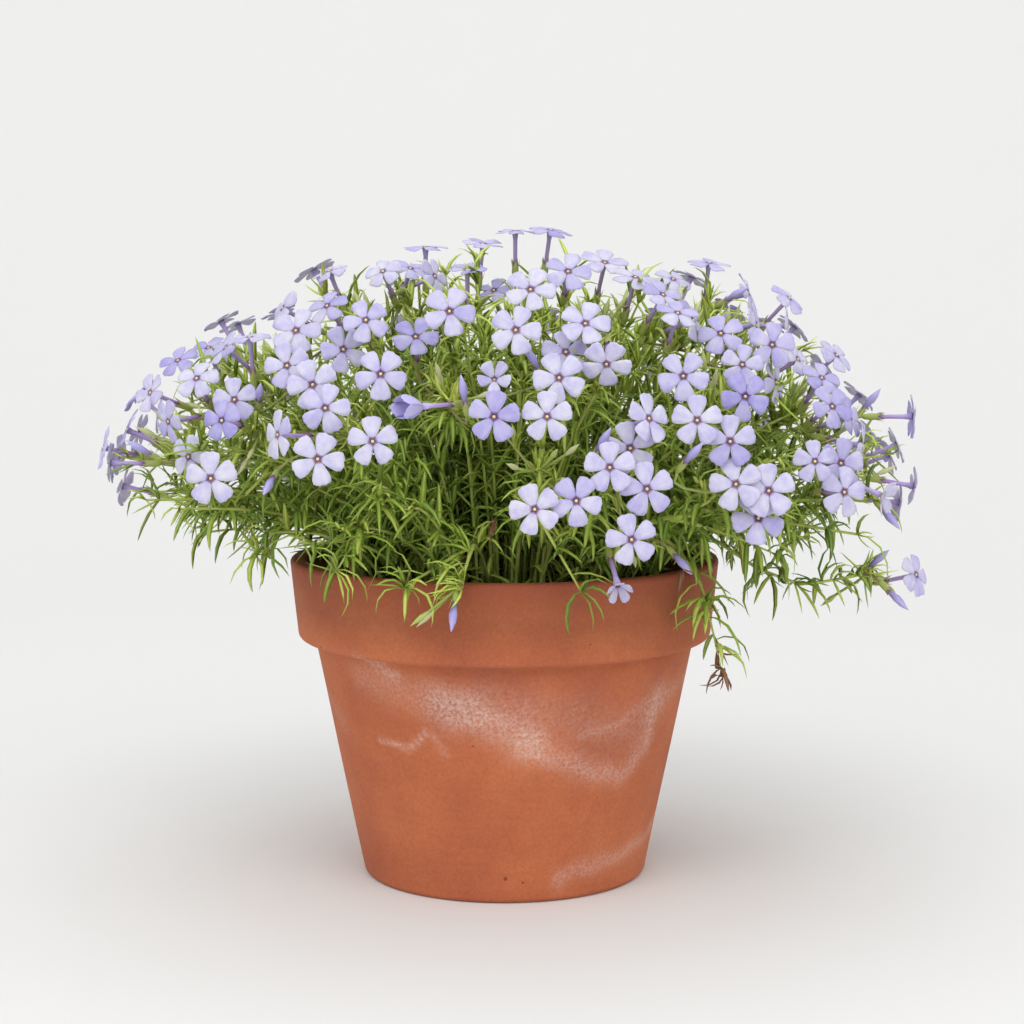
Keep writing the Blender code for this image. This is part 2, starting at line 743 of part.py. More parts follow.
def plan_branch(stem, number, way, top, top_way, flowers, room, draw):
    """Chooses the whorl that a branch leaves from and settles its way."""
    used = [branch["mark"] for branch in stem["branches"]]
    target = Vector(way[0]) if way else top
    best = None
    for mark in range(len(stem["marks"]) - 1):
        if mark in used:
            continue
        start, axis = along_path(stem["path"], stem["marks"][mark])
        out = target - start
        flat = (out - axis * out.dot(axis)).normalized()
        leave = (flat + axis * 0.55).normalized()
        begin = start + flat * (BRANCH_SINK * STEM_RADIUS)

        def make(wander):
            return branch_path(begin, leave, way, top, top_way, wander)

        held = len(room.taken)
        run, clash = settle_run(make, FIRST_BRANCH_WHORL, BRANCH_STEP, room, draw,
                                ("branch", number))
        cost = out.length + 1000.0 * clash
        if best is None or cost < best["cost"]:
            best = {"cost": cost, "run": run, "segments": room.taken[held:]}
            run.update({"mark": mark, "side": flat, "flowers": flowers, "end_way": top_way})
        del room.taken[held:]
    room.taken += best["segments"]
    stem["branches"].append(best["run"])


def leaf_tip(base, out, axis, share, draw):
    """Where a leaf ends: out and up from its stem, drooping by its own weight."""
    lift = draw.uniform(*LEAF_LIFT)
    way = (out + axis * lift).normalized()
    length = LEAF_LENGTH * draw.uniform(0.8, 1.12) * (1.0 - 0.3 * share)
    return base + way * length - UP * (LEAF_DROOP * draw.uniform(0.2, 1.3))


def test_leaf(corners, tip, share):
    """The outer part of a leaf, a little larger than life."""
    shell = Shell()
    middle = sum(corners, Vector()) / len(corners)
    ring = [shell.point(corner.lerp(tip, share) + (corner - middle).normalized() * SPARE)
            for corner in corners]
    shell.cap(ring[::-1])
    shell.point_up(ring, tip + (tip - middle).normalized() * SPARE)
    return shell


def settle_leaf(corners, out, axis, share, room, owner, draw):
    """Tries a few ways for a leaf, and leaves it out where all of them touch."""
    base = sum(corners, Vector()) / len(corners)
    for _ in range(LEAF_TRIES):
        way = (out + stray_vector(draw) * LEAF_STRAY).normalized()
        if way.dot(out) < 0.6:
            continue
        tip = leaf_tip(base, way, axis, share, draw)
        outer = test_leaf(corners, tip, FREE_LEAF)
        whole = test_leaf(corners, tip, ROOTED)
        if (room.clashes(outer, base, LEAF_REACH) == 0
                and room.clashes(whole, base, LEAF_REACH, owner) == 0):
            room.add(whole.tree(), base.lerp(tip, 0.5), 0.5 * LEAF_REACH, owner)
            return tip
    return None


def grow_whorl(shell, low, high, axis, share, room, owner, draw, branch_side):
    """Two leaves on each side of a joint, one side of which may bear a branch instead."""
    low_mid = shell.middle(low)
    facing = []
    for k in range(STEM_SIDES):
        n = (k + 1) % STEM_SIDES
        quad = [low[k], low[n], high[n], high[k]]
        out = shell.middle(quad) - low_mid
        facing.append((quad, (out - axis * out.dot(axis)).normalized()))
    foot = None
    if branch_side is not None:
        foot = max(range(STEM_SIDES), key=lambda k: facing[k][1].dot(branch_side))
    for k, (quad, out) in enumerate(facing):
        if k == foot:
            continue
        for corners in (quad[:3], [quad[0]] + quad[2:]):
            base = shell.middle(corners)
            apart = base - shell.middle(quad)
            way = (out + apart.normalized() * LEAF_PARTING).normalized()
            tip = settle_leaf([shell.points[c] for c in corners], way, axis, share, room, owner, draw)
            if tip is None:
                shell.cap(corners)
            else:
                shell.leaf(corners, tip)
    return facing[foot][0] if foot is not None else None


def grow_run(shell, ring, run, room, owner, draw, tip_radius, branches=()):
    """Grows a stem or branch along its way, whorl by whorl, and returns its last ring."""
    side = shell.points[ring[0]] - shell.middle(ring)
    feet = []
    for number, mark in enumerate(run["marks"]):
        share = mark / run["length"]
        radius = STEM_RADIUS + (tip_radius - STEM_RADIUS) * share
        place, axis = along_path(run["path"], mark)
        held = [branch for branch in branches if branch["mark"] == number]
        if held:
            flat = held[0]["side"]
            side = Matrix.Rotation(math.radians(-45), 3, axis) @ flat
        else:
            side = Matrix.Rotation(draw.uniform(-0.5, 0.5), 3, axis) @ side
        low = shell.ring(place - axis * (0.5 * JOINT), axis, side, radius, STEM_SIDES)
        low = nearest_start(shell, ring, low)
        high = shell.ring(place + axis * (0.5 * JOINT), axis, shell.points[low[0]] - place, radius,
                          STEM_SIDES)
        shell.bridge(ring, low)
        foot = grow_whorl(shell, low, high, axis, share, room, owner, draw,
                          held[0]["side"] if held else None)
        if foot is not None:
            feet.append((held[0], foot))
        ring = high
        side = shell.points[ring[0]] - place
    return ring, feet


def nearest_start(shell, ring, other):
    """Turns a ring's order so that its first point lies nearest the last ring's first."""
    want = shell.points[ring[0]] - shell.middle(ring)
    middle = shell.middle(other)
    start = max(range(len(other)), key=lambda k: (shell.points[other[k]] - middle).dot(want))
    return other[start:] + other[:start]


def end_run(shell, ring, run, flowers):
    """Ends a stem flat under its spray, or a barren shoot in a point."""
    top = run["path"][-1]
    if flowers:
        side = shell.points[ring[0]] - shell.middle(ring)
        last = shell.ring(top, run["end_way"], side, TIP_RADIUS, STEM_SIDES)
        shell.bridge(ring, last)
        shell.cap(last)
    else:
        shell.point_up(ring, top)


def stem_shell(stem, number, room, draw):
    """One leafy stem with its branches as one body."""
    shell = Shell()
    foot = stem["path"][0]
    ring = shell.ring(foot, UP, Vector((1.0, 0.0, 0.0)), STEM_RADIUS, STEM_SIDES)
    shell.cap(ring[::-1])
    owner = ("stem", number)
    last, feet = grow_run(shell, ring, stem, room, owner, draw, TIP_RADIUS, stem["branches"])
    end_run(shell, last, stem, True)
    for branch, quad in feet:
        tip_radius = TIP_RADIUS if branch["flowers"] else 0.6 * TIP_RADIUS
        last, _ = grow_run(shell, quad, branch, room, owner, draw, tip_radius)
        end_run(shell, last, branch, branch["flowers"])
    return shell


def drop_touching_leaves(shell, others):
    """Takes off the leaves that still touch their own stem's pieces or another's."""
    tree = shell.tree()
    touching = set()
    for a, b in tree.overlap(tree):
        if not set(shell.faces[a]) & set(shell.faces[b]):
            touching |= {a, b}
    for other in others:
        touching |= {a for a, _ in tree.overlap(other)}
    for first, corners in reversed(shell.leaves):
        sides = range(first, first + len(corners))
        if touching & set(sides):
            shell.faces[first:first + len(corners)] = [corners]


def arc_corner(before, corner, after, radius, steps):
    """Rounds one corner of an outline of (radius, height) points."""
    one = (Vector(before) - Vector(corner)).normalized()
    two = (Vector(after) - Vector(corner)).normalized()
    half = 0.5 * one.angle(two)
    reach = radius / math.tan(half)
    a = Vector(corner) + one * reach
    b = Vector(corner) + two * reach
    centre = Vector(corner) + (one + two).normalized() * (radius / math.sin(half))
    out = []
    for k in range(steps + 1):
        t = k / steps
        point = a.lerp(b, t) - centre
        out.append(tuple(centre + point.normalized() * radius))
    return out


def pot_outline():
    """The pot's section, from the drain hole out, up the outside and down the inside."""
    rim_top = (POT_RIM_RADIUS, POT_HEIGHT)
    rim_in = (POT_RIM_RADIUS - POT_WALL, POT_HEIGHT)
    rim_foot = (RIM_FOOT_RADIUS + 0.4, RIM_FOOT_HEIGHT)
    neck = (POT_NECK_RADIUS, RIM_FOOT_HEIGHT)
    base = (POT_BASE_RADIUS, 0.0)
    shelf = (POT_NECK_RADIUS - POT_WALL, RIM_FOOT_HEIGHT - 3.0)
    outline = [(DRAIN_RADIUS, 0.0)]
    outline += arc_corner((DRAIN_RADIUS, 0.0), base, neck, 3.0, 1)
    outline += [neck]
    outline += arc_corner(neck, rim_foot, rim_top, 3.2, 2)
    outline += arc_corner(rim_foot, rim_top, rim_in, 2.6, 2)
    outline += [(rim_in[0] + 0.6, POT_HEIGHT - 1.0), (rim_in[0] - 3.5, RIM_FOOT_HEIGHT + 4.0), shelf]
    outline += [(POT_BASE_RADIUS - POT_WALL, POT_FLOOR), (DRAIN_RADIUS, POT_FLOOR)]
    return outline


def turned(outline, sides, closed):
    """A body spun round the Z axis from an outline of (radius, height) points."""
    body = bmesh.new()
    first = math.pi / sides
    points = [body.verts.new((radius * math.cos(first), radius * math.sin(first), height))
              for radius, height in outline]
    pairs = zip(points, points[1:] + points[:1] if closed else points[1:])
    edges = [body.edges.new(pair) for pair in pairs]
    bmesh.ops.spin(body, geom=points + edges, axis=UP, cent=(0.0, 0.0, 0.0),
                   angle=2.0 * math.pi, steps=sides, use_merge=True)
    bmesh.ops.remove_doubles(body, verts=body.verts[:], dist=0.001)
    bmesh.ops.recalc_face_normals(body, faces=body.faces[:])
    return body


def pot_body():
    return turned(pot_outline(), POT_SIDES, True)


def soil_body():
    """The bed's body; only its top is uneven."""
    outline = pot_outline()
    wall_top, shelf_top, shelf, floor = outline[-5], outline[-4], outline[-3], outline[-2]
    share = (SOIL_TOP - shelf_top[1]) / (wall_top[1] - shelf_top[1])
    brink = shelf_top[0] + (wall_top[0] - shelf_top[0]) * share
    sag = math.cos(math.pi / POT_SIDES)
    section = [(0.0, floor[1] + SOIL_GAP), (floor[0] * sag - SOIL_GAP, floor[1] + SOIL_GAP),
               (shelf[0] * sag - SOIL_GAP, shelf[1] + SOIL_GAP),
               (shelf_top[0] * sag - SOIL_GAP, shelf_top[1] + SOIL_GAP),
               (brink * sag - SOIL_GAP, SOIL_TOP), (0.72 * brink, SOIL_TOP + 0.5),
               (0.36 * brink, SOIL_TOP + 1.0), (0.0, SOIL_TOP + 1.0)]
    bed = turned(section, SOIL_SIDES, False)
    for vert in bed.verts:
        radius = Vector((vert.co.x, vert.co.y)).length
        if vert.co.z > SOIL_TOP + 0.25 and radius > 1.0:
            angle = math.atan2(vert.co.y, vert.co.x)
            wave = (math.sin(3.0 * angle + 0.11 * radius)
                    + 0.7 * math.sin(7.0 * angle - 0.3 * radius))
            vert.co.z += SOIL_CRUMB * wave
    bmesh.ops.triangulate(bed, faces=bed.faces[:])
    return bed


def hole_cutter(roots):
    """A plain hole for every stem, as one mesh of slim prisms."""
    shell = Shell()
    for root in roots:
        foot = Vector((root.x, root.y, SOIL_TOP - HOLE_DEPTH))
        low = shell.ring(foot, UP, Vector((1.0, 0.0, 0.0)), HOLE_RADIUS, HOLE_SIDES)
        high = shell.ring(foot + UP * (HOLE_DEPTH + 12.0), UP, Vector((1.0, 0.0, 0.0)),
                          HOLE_RADIUS, HOLE_SIDES)
        shell.cap(low[::-1])
        shell.bridge(low, high)
        shell.cap(high)
    return shell


def material(name, colour, roughness):
    made = bpy.data.materials.new(name)
    made.use_nodes = True
    shader = made.node_tree.nodes["Principled BSDF"]
    shader.inputs["Base Color"].default_value = (*colour, 1.0)
    shader.inputs["Roughness"].default_value = roughness
    return made


def add_object(name, mesh, surface):
    mesh.materials.append(surface)
    made = bpy.data.objects.new(name, mesh)
    bpy.context.collection.objects.link(made)
    return made


def place_body(name, body, surface):
    """Makes a named object of a turned body, in metres."""
    bmesh.ops.scale(body, vec=(MM, MM, MM), verts=body.verts[:])
    mesh = bpy.data.meshes.new(name)
    body.to_mesh(mesh)
    body.free()
    mesh.shade_smooth()
    mesh.set_sharp_from_angle(angle=CREASE)
    return add_object(name, mesh, surface)


def place_shell(name, shell, surface):
    """Makes a named object of a shell, in metres, without the points it no longer uses."""
    used = sorted({k for face in shell.faces for k in face})
    order = {k: n for n, k in enumerate(used)}
    faces = [[order[k] for k in face] for face in shell.faces]
    mesh = bpy.data.meshes.new(name)
    mesh.from_pydata([shell.points[k] * MM for k in used], [], faces)
    return add_object(name, mesh, surface)


def cut_holes(soil, roots, surface):
    cutter = place_shell("hole_cutter", hole_cutter(roots), surface)
    cutter.hide_render = True
    cutter.display_type = "WIRE"
    cut = soil.modifiers.new("stem_holes", "BOOLEAN")
    cut.operation = "DIFFERENCE"
    cut.object = cutter


def clear_scene():
    for old in list(bpy.data.objects):
        bpy.data.objects.remove(old, do_unlink=True)


def build():
    clear_scene()
    draw = random.Random(SEED)
    clay = material("terracotta", (0.46, 0.15, 0.07), 0.85)
    compost = material("compost", (0.03, 0.022, 0.015), 0.95)
    green = material("foliage", (0.13, 0.26, 0.035), 0.6)
    violet = material("petals", (0.58, 0.54, 0.85), 0.6)

    pot = pot_body()
    bed = soil_body()
    pot_tree = BVHTree.FromBMesh(pot)
    room = Room()
    room.add(pot_tree, Vector(), WORLD_REACH)
    sprays = plan_sprays(draw, room)
    stems = plan_stems(sprays, draw, room)
    room.add(BVHTree.FromBMesh(bed), Vector(), WORLD_REACH)

    place_body("pot", pot, clay)
    soil = place_body("soil", bed, compost)
    cut_holes(soil, [stem["root"] for stem in stems], compost)
    finished = [pot_tree]
    for number, spray in enumerate(sprays):
        shell = spray_shell(spray)
        finished.append(shell.tree())
        place_shell(f"flower_spray_{number + 1:02d}", shell, violet)
    for number, stem in enumerate(stems):
        shell = stem_shell(stem, number, room, draw)
        drop_touching_leaves(shell, finished)
        finished.append(shell.tree())
        place_shell(f"leafy_stem_{number + 1:02d}", shell, green)


build()
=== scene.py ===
"""A moss phlox in full flower in its clay pot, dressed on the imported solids.

Sizes are named in millimetres and meshes are written in metres, in the solids' frame.
"""

import math
import random

import bmesh
import bpy
from mathutils import Matrix, Vector, kdtree, noise


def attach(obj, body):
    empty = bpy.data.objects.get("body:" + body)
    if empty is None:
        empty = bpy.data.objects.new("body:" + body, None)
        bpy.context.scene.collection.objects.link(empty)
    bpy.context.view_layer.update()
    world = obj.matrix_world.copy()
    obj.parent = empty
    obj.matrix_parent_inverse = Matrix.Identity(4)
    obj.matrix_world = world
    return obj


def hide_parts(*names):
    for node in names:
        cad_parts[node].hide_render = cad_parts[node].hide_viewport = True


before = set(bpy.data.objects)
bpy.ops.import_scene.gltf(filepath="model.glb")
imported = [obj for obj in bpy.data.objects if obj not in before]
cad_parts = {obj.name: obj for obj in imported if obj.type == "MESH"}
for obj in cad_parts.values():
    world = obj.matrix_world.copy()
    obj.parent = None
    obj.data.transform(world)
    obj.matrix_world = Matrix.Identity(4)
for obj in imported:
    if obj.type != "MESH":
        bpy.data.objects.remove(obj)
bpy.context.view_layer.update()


# The pot: a machine-pressed terracotta flowerpot with a deep rim and a drain hole.
# It is fired but not glazed, so it is dry and matte, and lime from the water has
# dried on its wall as a thin white bloom.
MM = 0.001
POT_HEIGHT = 119.1
RIM_RADIUS = 80.0
RIM_FOOT = (77.0, 89.4)
NECK_RADIUS = 71.0
BASE_RADIUS = 52.8
WALL = 6.0
FLOOR = 8.0
DRAIN_RADIUS = 7.0
LIP_ROUND = 2.4
POT_SIDES = 216
WALL_STEP = 1.8

# Where the lime lies: its way as (degrees round from the front, height), its half
# width and its strength.
LIME = (
    (((-42, 89), (-37, 86), (-34, 84)), 3.2, 0.75),
    (((-46, 80), (-25, 76), (-11, 72)), 7.0, 0.42),
    (((-18, 74), (-7, 71), (2, 64), (8, 59)), 6.5, 0.82),
    (((8, 59), (19, 54), (30, 50), (41, 47), (47, 50), (53, 60), (54, 73)), 4.4, 0.72),
    (((-4, 76), (17, 70), (39, 65), (55, 68)), 9.0, 0.36),
    (((24, 62), (36, 66), (49, 72)), 1.3, 0.4),
    (((61, 72), (84, 75)), 4.0, 0.4),
    (((-44, 58), (-38, 58), (-33, 57), (-29, 59), (-24, 64)), 0.9, 1.0),
    (((-22, 63), (-19, 57)), 1.8, 0.4),
    (((-74, 68), (-65, 61)), 4.0, 0.3),
    (((22, 9), (38, 11), (49, 13), (65, 17), (84, 20)), 3.4, 0.62),
    (((128, 80), (150, 70), (176, 74), (205, 62)), 7.0, 0.6),
    (((230, 40), (250, 52), (262, 48)), 5.0, 0.5),
)


def select_only(piece):
    """Makes a piece the only one that the next operators act on."""
    bpy.ops.object.select_all(action="DESELECT")
    piece.select_set(True)
    bpy.context.view_layer.objects.active = piece


def add_piece(name, mesh):
    piece = bpy.data.objects.new(name, mesh)
    bpy.context.scene.collection.objects.link(piece)
    return piece


def straight(start, end, step):
    """Points from start up to but not onto end, evenly and about a step apart."""
    count = max(1, round((Vector(end) - Vector(start)).length / step))
    return [tuple(Vector(start).lerp(Vector(end), k / count)) for k in range(count)]


def turn(name, corners, sides, step):
    """Spins a closed outline of (radius, height) corners round the Z axis."""
    outline = []
    for start, end in zip(corners, corners[1:] + corners[:1]):
        outline += straight(start, end, step)
    mesh = bpy.data.meshes.new(name)
    points = [(radius * MM, 0.0, height * MM) for radius, height in outline]
    mesh.from_pydata(points, [(k, (k + 1) % len(points)) for k in range(len(points))], [])
    piece = add_piece(name, mesh)
    select_only(piece)
    bpy.ops.object.mode_set(mode="EDIT")
    bpy.ops.mesh.select_all(action="SELECT")
    bpy.ops.mesh.spin(steps=sides, angle=2.0 * math.pi, center=(0, 0, 0), axis=(0, 0, 1))
    bpy.ops.mesh.select_all(action="SELECT")
    bpy.ops.mesh.remove_doubles(threshold=1e-6)
    bpy.ops.mesh.normals_make_consistent(inside=False)
    bpy.ops.object.mode_set(mode="OBJECT")
    return piece


def round_edges(piece, width, angle):
    """Rounds every edge sharper than the given angle, as a press mould leaves it."""
    select_only(piece)
    bpy.ops.object.modifier_add(type="BEVEL")
    bevel = piece.modifiers[-1]
    bevel.width = width * MM
    bevel.segments = 4
    bevel.limit_method = "ANGLE"
    bevel.angle_limit = math.radians(angle)
    bpy.ops.object.modifier_apply(modifier=bevel.name)
    bpy.ops.object.shade_smooth_by_angle(angle=math.radians(35))


def distance_to_way(point, way):
    """The distance in mm from a flat point to a line of points."""
    best = 1e9
    for a, b in zip(way, way[1:]):
        along = b - a
        share = max(0.0, min(1.0, (point - a).dot(along) / max(along.length_squared, 1e-9)))
        best = min(best, (point - a - along * share).length)
    return best


def lime_at(place):
    """How thick the lime bloom is at a place on the wall, from 0 to about 1."""
    radius = math.hypot(place.x, place.y) / MM
    round_from_front = math.degrees(math.atan2(place.x, -place.y))
    ragged = noise.noise_vector(place * 90.0) * 3.0 + noise.noise_vector(place * 30.0) * 4.0
    total = 0.0
    for way, half_width, strength in LIME:
        middle = sum(step[0] for step in way) / len(way)
        turned = (round_from_front - middle + 180.0) % 360.0 - 180.0 + middle
        here = Vector((math.radians(turned) * radius, place.z / MM))
        here += Vector((ragged.x, ragged.y)) * min(1.0, half_width / 4.0)
        flat = [Vector((math.radians(a) * radius, z)) for a, z in way]
        total += strength * math.exp(-(distance_to_way(here, flat) / half_width) ** 2)
    return min(total, 1.2)


def hex_colour(code):
    """An sRGB hex colour as linear RGBA."""
    parts = [int(code[k:k + 2], 16) / 255.0 for k in (1, 3, 5)]
    return tuple(c / 12.92 if c <= 0.04045 else ((c + 0.055) / 1.055) ** 2.4
                 for c in parts) + (1.0,)


def new_material(name, roughness):
    made = bpy.data.materials.new(name)
    made.use_nodes = True
    made.node_tree.nodes["Principled BSDF"].inputs["Roughness"].default_value = roughness
    return made


def add_node(material, kind, inputs=None, stops=None, **settings):
    """Adds a shader node. An input is a value or another node's output."""
    made = material.node_tree.nodes.new(kind)
    for name, value in settings.items():
        setattr(made, name, value)
    for name, value in (inputs or {}).items():
        if isinstance(value, bpy.types.NodeSocket):
            material.node_tree.links.new(value, made.inputs[name])
        else:
            made.inputs[name].default_value = value
    for number, (place, colour) in enumerate(stops or ()):
        ramp = made.color_ramp.elements
        step = ramp[number] if number < 2 else ramp.new(place)
        step.position, step.color = place, colour
    return made


def wire(material, output, shader_input):
    shader = material.node_tree.nodes["Principled BSDF"]
    material.node_tree.links.new(output, shader.inputs[shader_input])


clay_pot = turn("clay_pot", [
    (DRAIN_RADIUS, 0.0), (BASE_RADIUS, 0.0), (NECK_RADIUS, RIM_FOOT[1]), RIM_FOOT,
    (RIM_RADIUS, POT_HEIGHT), (RIM_RADIUS - WALL, POT_HEIGHT),
    (RIM_RADIUS - WALL - 3.5, RIM_FOOT[1] + 4.0), (NECK_RADIUS - WALL, RIM_FOOT[1] - 3.0),
    (BASE_RADIUS - WALL, FLOOR), (DRAIN_RADIUS, FLOOR)], POT_SIDES, WALL_STEP)
round_edges(clay_pot, LIP_ROUND, 25)
for vertex in clay_pot.data.vertices:
    flat = Vector((vertex.co.x, vertex.co.y, 0.0))
    if vertex.co.z > 2.0 * MM:
        vertex.co += flat.normalized() * (0.25 * MM * noise.noise(vertex.co * 22.0))
lime = clay_pot.data.attributes.new("lime", "FLOAT", "POINT")
for number, vertex in enumerate(clay_pot.data.vertices):
    lime.data[number].value = lime_at(vertex.co)

# Fired clay: a warm orange red with darker, redder patches where the kiln ran hotter,
# iron specks a millimetre across, fine turning lines and the chalky lime on top. The rim
# is darkened from its foot up to the lip, partly for the damp compost and partly as
# painted shade from the overhanging mound, and the patches run darker and redder toward
# the lip as painted shade too.
terracotta = new_material("fired_terracotta", 0.88)
here = add_node(terracotta, "ShaderNodeTexCoord").outputs["Object"]
patches = add_node(terracotta, "ShaderNodeTexNoise",
                   {"Vector": here, "Scale": 28.0, "Detail": 4.0, "Roughness": 0.55})
clay = add_node(terracotta, "ShaderNodeValToRGB", {"Fac": patches.outputs["Fac"]},
                [(0.32, hex_colour("#AA5A3B")), (0.68, hex_colour("#BF6D45")),
                 (0.5, hex_colour("#B5633E"))])
grit = add_node(terracotta, "ShaderNodeTexNoise", {"Vector": here, "Scale": 900.0, "Detail": 2.0})
grit_shade = add_node(terracotta, "ShaderNodeMapRange",
                      {"Value": grit.outputs["Fac"], "From Min": 0.3, "From Max": 0.7,
                       "To Min": 0.9, "To Max": 1.08})
gritty = add_node(terracotta, "ShaderNodeMix",
                  {0: 1.0, 6: clay.outputs["Color"], 7: grit_shade.outputs["Result"]},
                  data_type="RGBA", blend_type="MULTIPLY")
height = add_node(terracotta, "ShaderNodeSeparateXYZ", {"Vector": here})
# Painted shade: near the lip the patches are mixed toward a darker red.
lip = add_node(terracotta, "ShaderNodeMapRange",
               {"Value": height.outputs["Z"], "From Min": 0.108, "From Max": 0.119})
lip_shade_patches = add_node(terracotta, "ShaderNodeMath",
                       {0: lip.outputs["Result"], 1: patches.outputs["Fac"]},
                       operation="MULTIPLY")
reddened_and_lip_shaded = add_node(terracotta, "ShaderNodeMix",
                    {0: lip_shade_patches.outputs["Value"], 6: gritty.outputs[2],
                     7: hex_colour("#A04A35")}, data_type="RGBA")
# Painted shade: the rim darkens from its foot up toward the lip, for the damp compost and for the
# shade of the overhanging mound.
rim_damp_and_painted_shade = add_node(terracotta, "ShaderNodeMapRange",
                    {"Value": height.outputs["Z"], "From Min": 0.0915, "From Max": 0.103,
                     "To Min": 1.0, "To Max": 0.77})
damped_and_shaded = add_node(terracotta, "ShaderNodeMix",
                  {0: 1.0, 6: reddened_and_lip_shaded.outputs[2], 7: rim_damp_and_painted_shade.outputs["Result"]},
                  data_type="RGBA", blend_type="MULTIPLY")
speck_cells = add_node(terracotta, "ShaderNodeTexVoronoi", {"Vector": here, "Scale": 170.0})
speck_noise = add_node(terracotta, "ShaderNodeTexNoise", {"Vector": here, "Scale": 60.0})
speck_size = add_node(terracotta, "ShaderNodeMapRange",
                      {"Value": speck_noise.outputs["Fac"], "From Min": 0.58, "From Max": 0.75,
                       "To Min": 0.0, "To Max": 0.16})
specks = add_node(terracotta, "ShaderNodeMath",
                  {0: speck_cells.outputs["Distance"], 1: speck_size.outputs["Result"]},
                  operation="LESS_THAN")
speck_share = add_node(terracotta, "ShaderNodeMath", {0: specks.outputs["Value"], 1: 0.7},
                       operation="MULTIPLY")
specked = add_node(terracotta, "ShaderNodeMix",
                   {0: speck_share.outputs["Value"], 6: damped_and_shaded.outputs[2],
                    7: hex_colour("#5A2C1E")}, data_type="RGBA")
bloom = add_node(terracotta, "ShaderNodeAttribute", attribute_name="lime")
chalk = add_node(terracotta, "ShaderNodeTexNoise",
                 {"Vector": here, "Scale": 850.0, "Detail": 3.0, "Roughness": 0.7})
chalk_share = add_node(terracotta, "ShaderNodeMapRange",
                       {"Value": chalk.outputs["Fac"], "From Min": 0.34, "From Max": 0.7,
                        "To Min": 0.07, "To Max": 0.52})
lime_share = add_node(terracotta, "ShaderNodeMath",
                      {0: bloom.outputs["Fac"], 1: chalk_share.outputs["Result"]},
                      operation="MULTIPLY", use_clamp=True)
limed = add_node(terracotta, "ShaderNodeMix",
                 {0: lime_share.outputs["Value"], 6: specked.outputs[2],
                  7: hex_colour("#E6D3C9")}, data_type="RGBA")
wire(terracotta, limed.outputs[2], "Base Color")
turning = add_node(terracotta, "ShaderNodeTexWave", {"Vector": here, "Scale": 90.0,
                                                     "Distortion": 1.5, "Detail": 2.0},
                   bands_direction="Z")
surface = add_node(terracotta, "ShaderNodeMath",
                   {0: turning.outputs["Fac"], 1: grit.outputs["Fac"], 2: 0.6},
                   operation="MULTIPLY_ADD")
relief = add_node(terracotta, "ShaderNodeBump",
                  {"Height": surface.outputs["Value"], "Strength": 0.25, "Distance": 0.0003})
wire(terracotta, relief.outputs["Normal"], "Normal")
clay_pot.data.materials.append(terracotta)
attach(clay_pot, "root")
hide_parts("pot")


# The compost: dark peat and bark that fills the pot to just under its lip, settled
# into crumbs, with chips of bark and a few white grains of perlite on top.
SOIL_TOP = 108.0
SOIL_EDGE = 71.4
SOIL_SIDES = 96
CHIPS = 300
PERLITE = 26

compost = turn("compost", [
    (0.5, FLOOR + 0.6), (BASE_RADIUS - WALL - 0.9, FLOOR + 0.6),
    (NECK_RADIUS - WALL - 0.9, RIM_FOOT[1] - 2.4), (SOIL_EDGE - 2.0, RIM_FOOT[1] + 4.6),
    (SOIL_EDGE, SOIL_TOP), (0.5, SOIL_TOP + 1.0)], SOIL_SIDES, 2.4)
select_only(compost)
bpy.ops.object.mode_set(mode="EDIT")
bpy.ops.mesh.select_all(action="SELECT")
bpy.ops.mesh.remove_doubles(threshold=0.6 * MM)
bpy.ops.mesh.normals_make_consistent(inside=False)
bpy.ops.object.mode_set(mode="OBJECT")
for vertex in compost.data.vertices:
    inward = 1.0 - math.hypot(vertex.co.x, vertex.co.y) / (SOIL_EDGE * MM)
    if vertex.co.z > (SOIL_TOP - 0.5) * MM:
        rough = noise.fractal(vertex.co * 160.0, 1.0, 2.0, 3)
        vertex.co.z += MM * min(1.0, 8.0 * inward) * 1.3 * rough
bpy.ops.object.shade_smooth()

draw = random.Random(7)


def add_chips(name, count, sizes, flatness, material):
    """Strews grains over the compost, each a rounded lump of its own shape."""
    lumps = bmesh.new()
    for _ in range(count):
        angle, radius = draw.uniform(0, 2 * math.pi), 69.0 * math.sqrt(draw.random())
        size = draw.uniform(*sizes)
        place = Vector((radius * math.cos(angle), radius * math.sin(angle),
                        SOIL_TOP + 0.9 + 0.2 * size))
        made = bmesh.ops.create_icosphere(lumps, subdivisions=1, radius=0.5 * size * MM)
        squeeze = Matrix.Diagonal((draw.uniform(0.7, 1.5), draw.uniform(0.6, 1.0), flatness, 1.0))
        lean = Matrix.Rotation(draw.uniform(0, 6.3), 4, "Z") @ Matrix.Rotation(
            draw.uniform(-0.5, 0.5), 4, "X")
        bmesh.ops.transform(lumps, verts=made["verts"],
                            matrix=Matrix.Translation(place * MM) @ lean @ squeeze)
        for vertex in made["verts"]:
            vertex.co += noise.noise_vector(vertex.co * 500.0) * (0.16 * size * MM)
    mesh = bpy.data.meshes.new(name)
    lumps.to_mesh(mesh)
    lumps.free()
    mesh.materials.append(material)
    piece = add_piece(name, mesh)
    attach(piece, "root")
    return piece


# Moist peat: nearly black brown with paler fibres, and rough all over.
peat = new_material("moist_peat", 0.95)
here = add_node(peat, "ShaderNodeTexCoord").outputs["Object"]
crumbs = add_node(peat, "ShaderNodeTexNoise",
                  {"Vector": here, "Scale": 260.0, "Detail": 6.0, "Roughness": 0.7})
tones = add_node(peat, "ShaderNodeValToRGB", {"Fac": crumbs.outputs["Fac"]},
                 [(0.35, hex_colour("#0F0B08")), (0.78, hex_colour("#4A3A2C")),
                  (0.6, hex_colour("#241B14"))])
wire(peat, tones.outputs["Color"], "Base Color")
relief = add_node(peat, "ShaderNodeBump",
                  {"Height": crumbs.outputs["Fac"], "Strength": 0.8, "Distance": 0.0012})
wire(peat, relief.outputs["Normal"], "Normal")
compost.data.materials.append(peat)
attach(compost, "root")
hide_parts("soil")

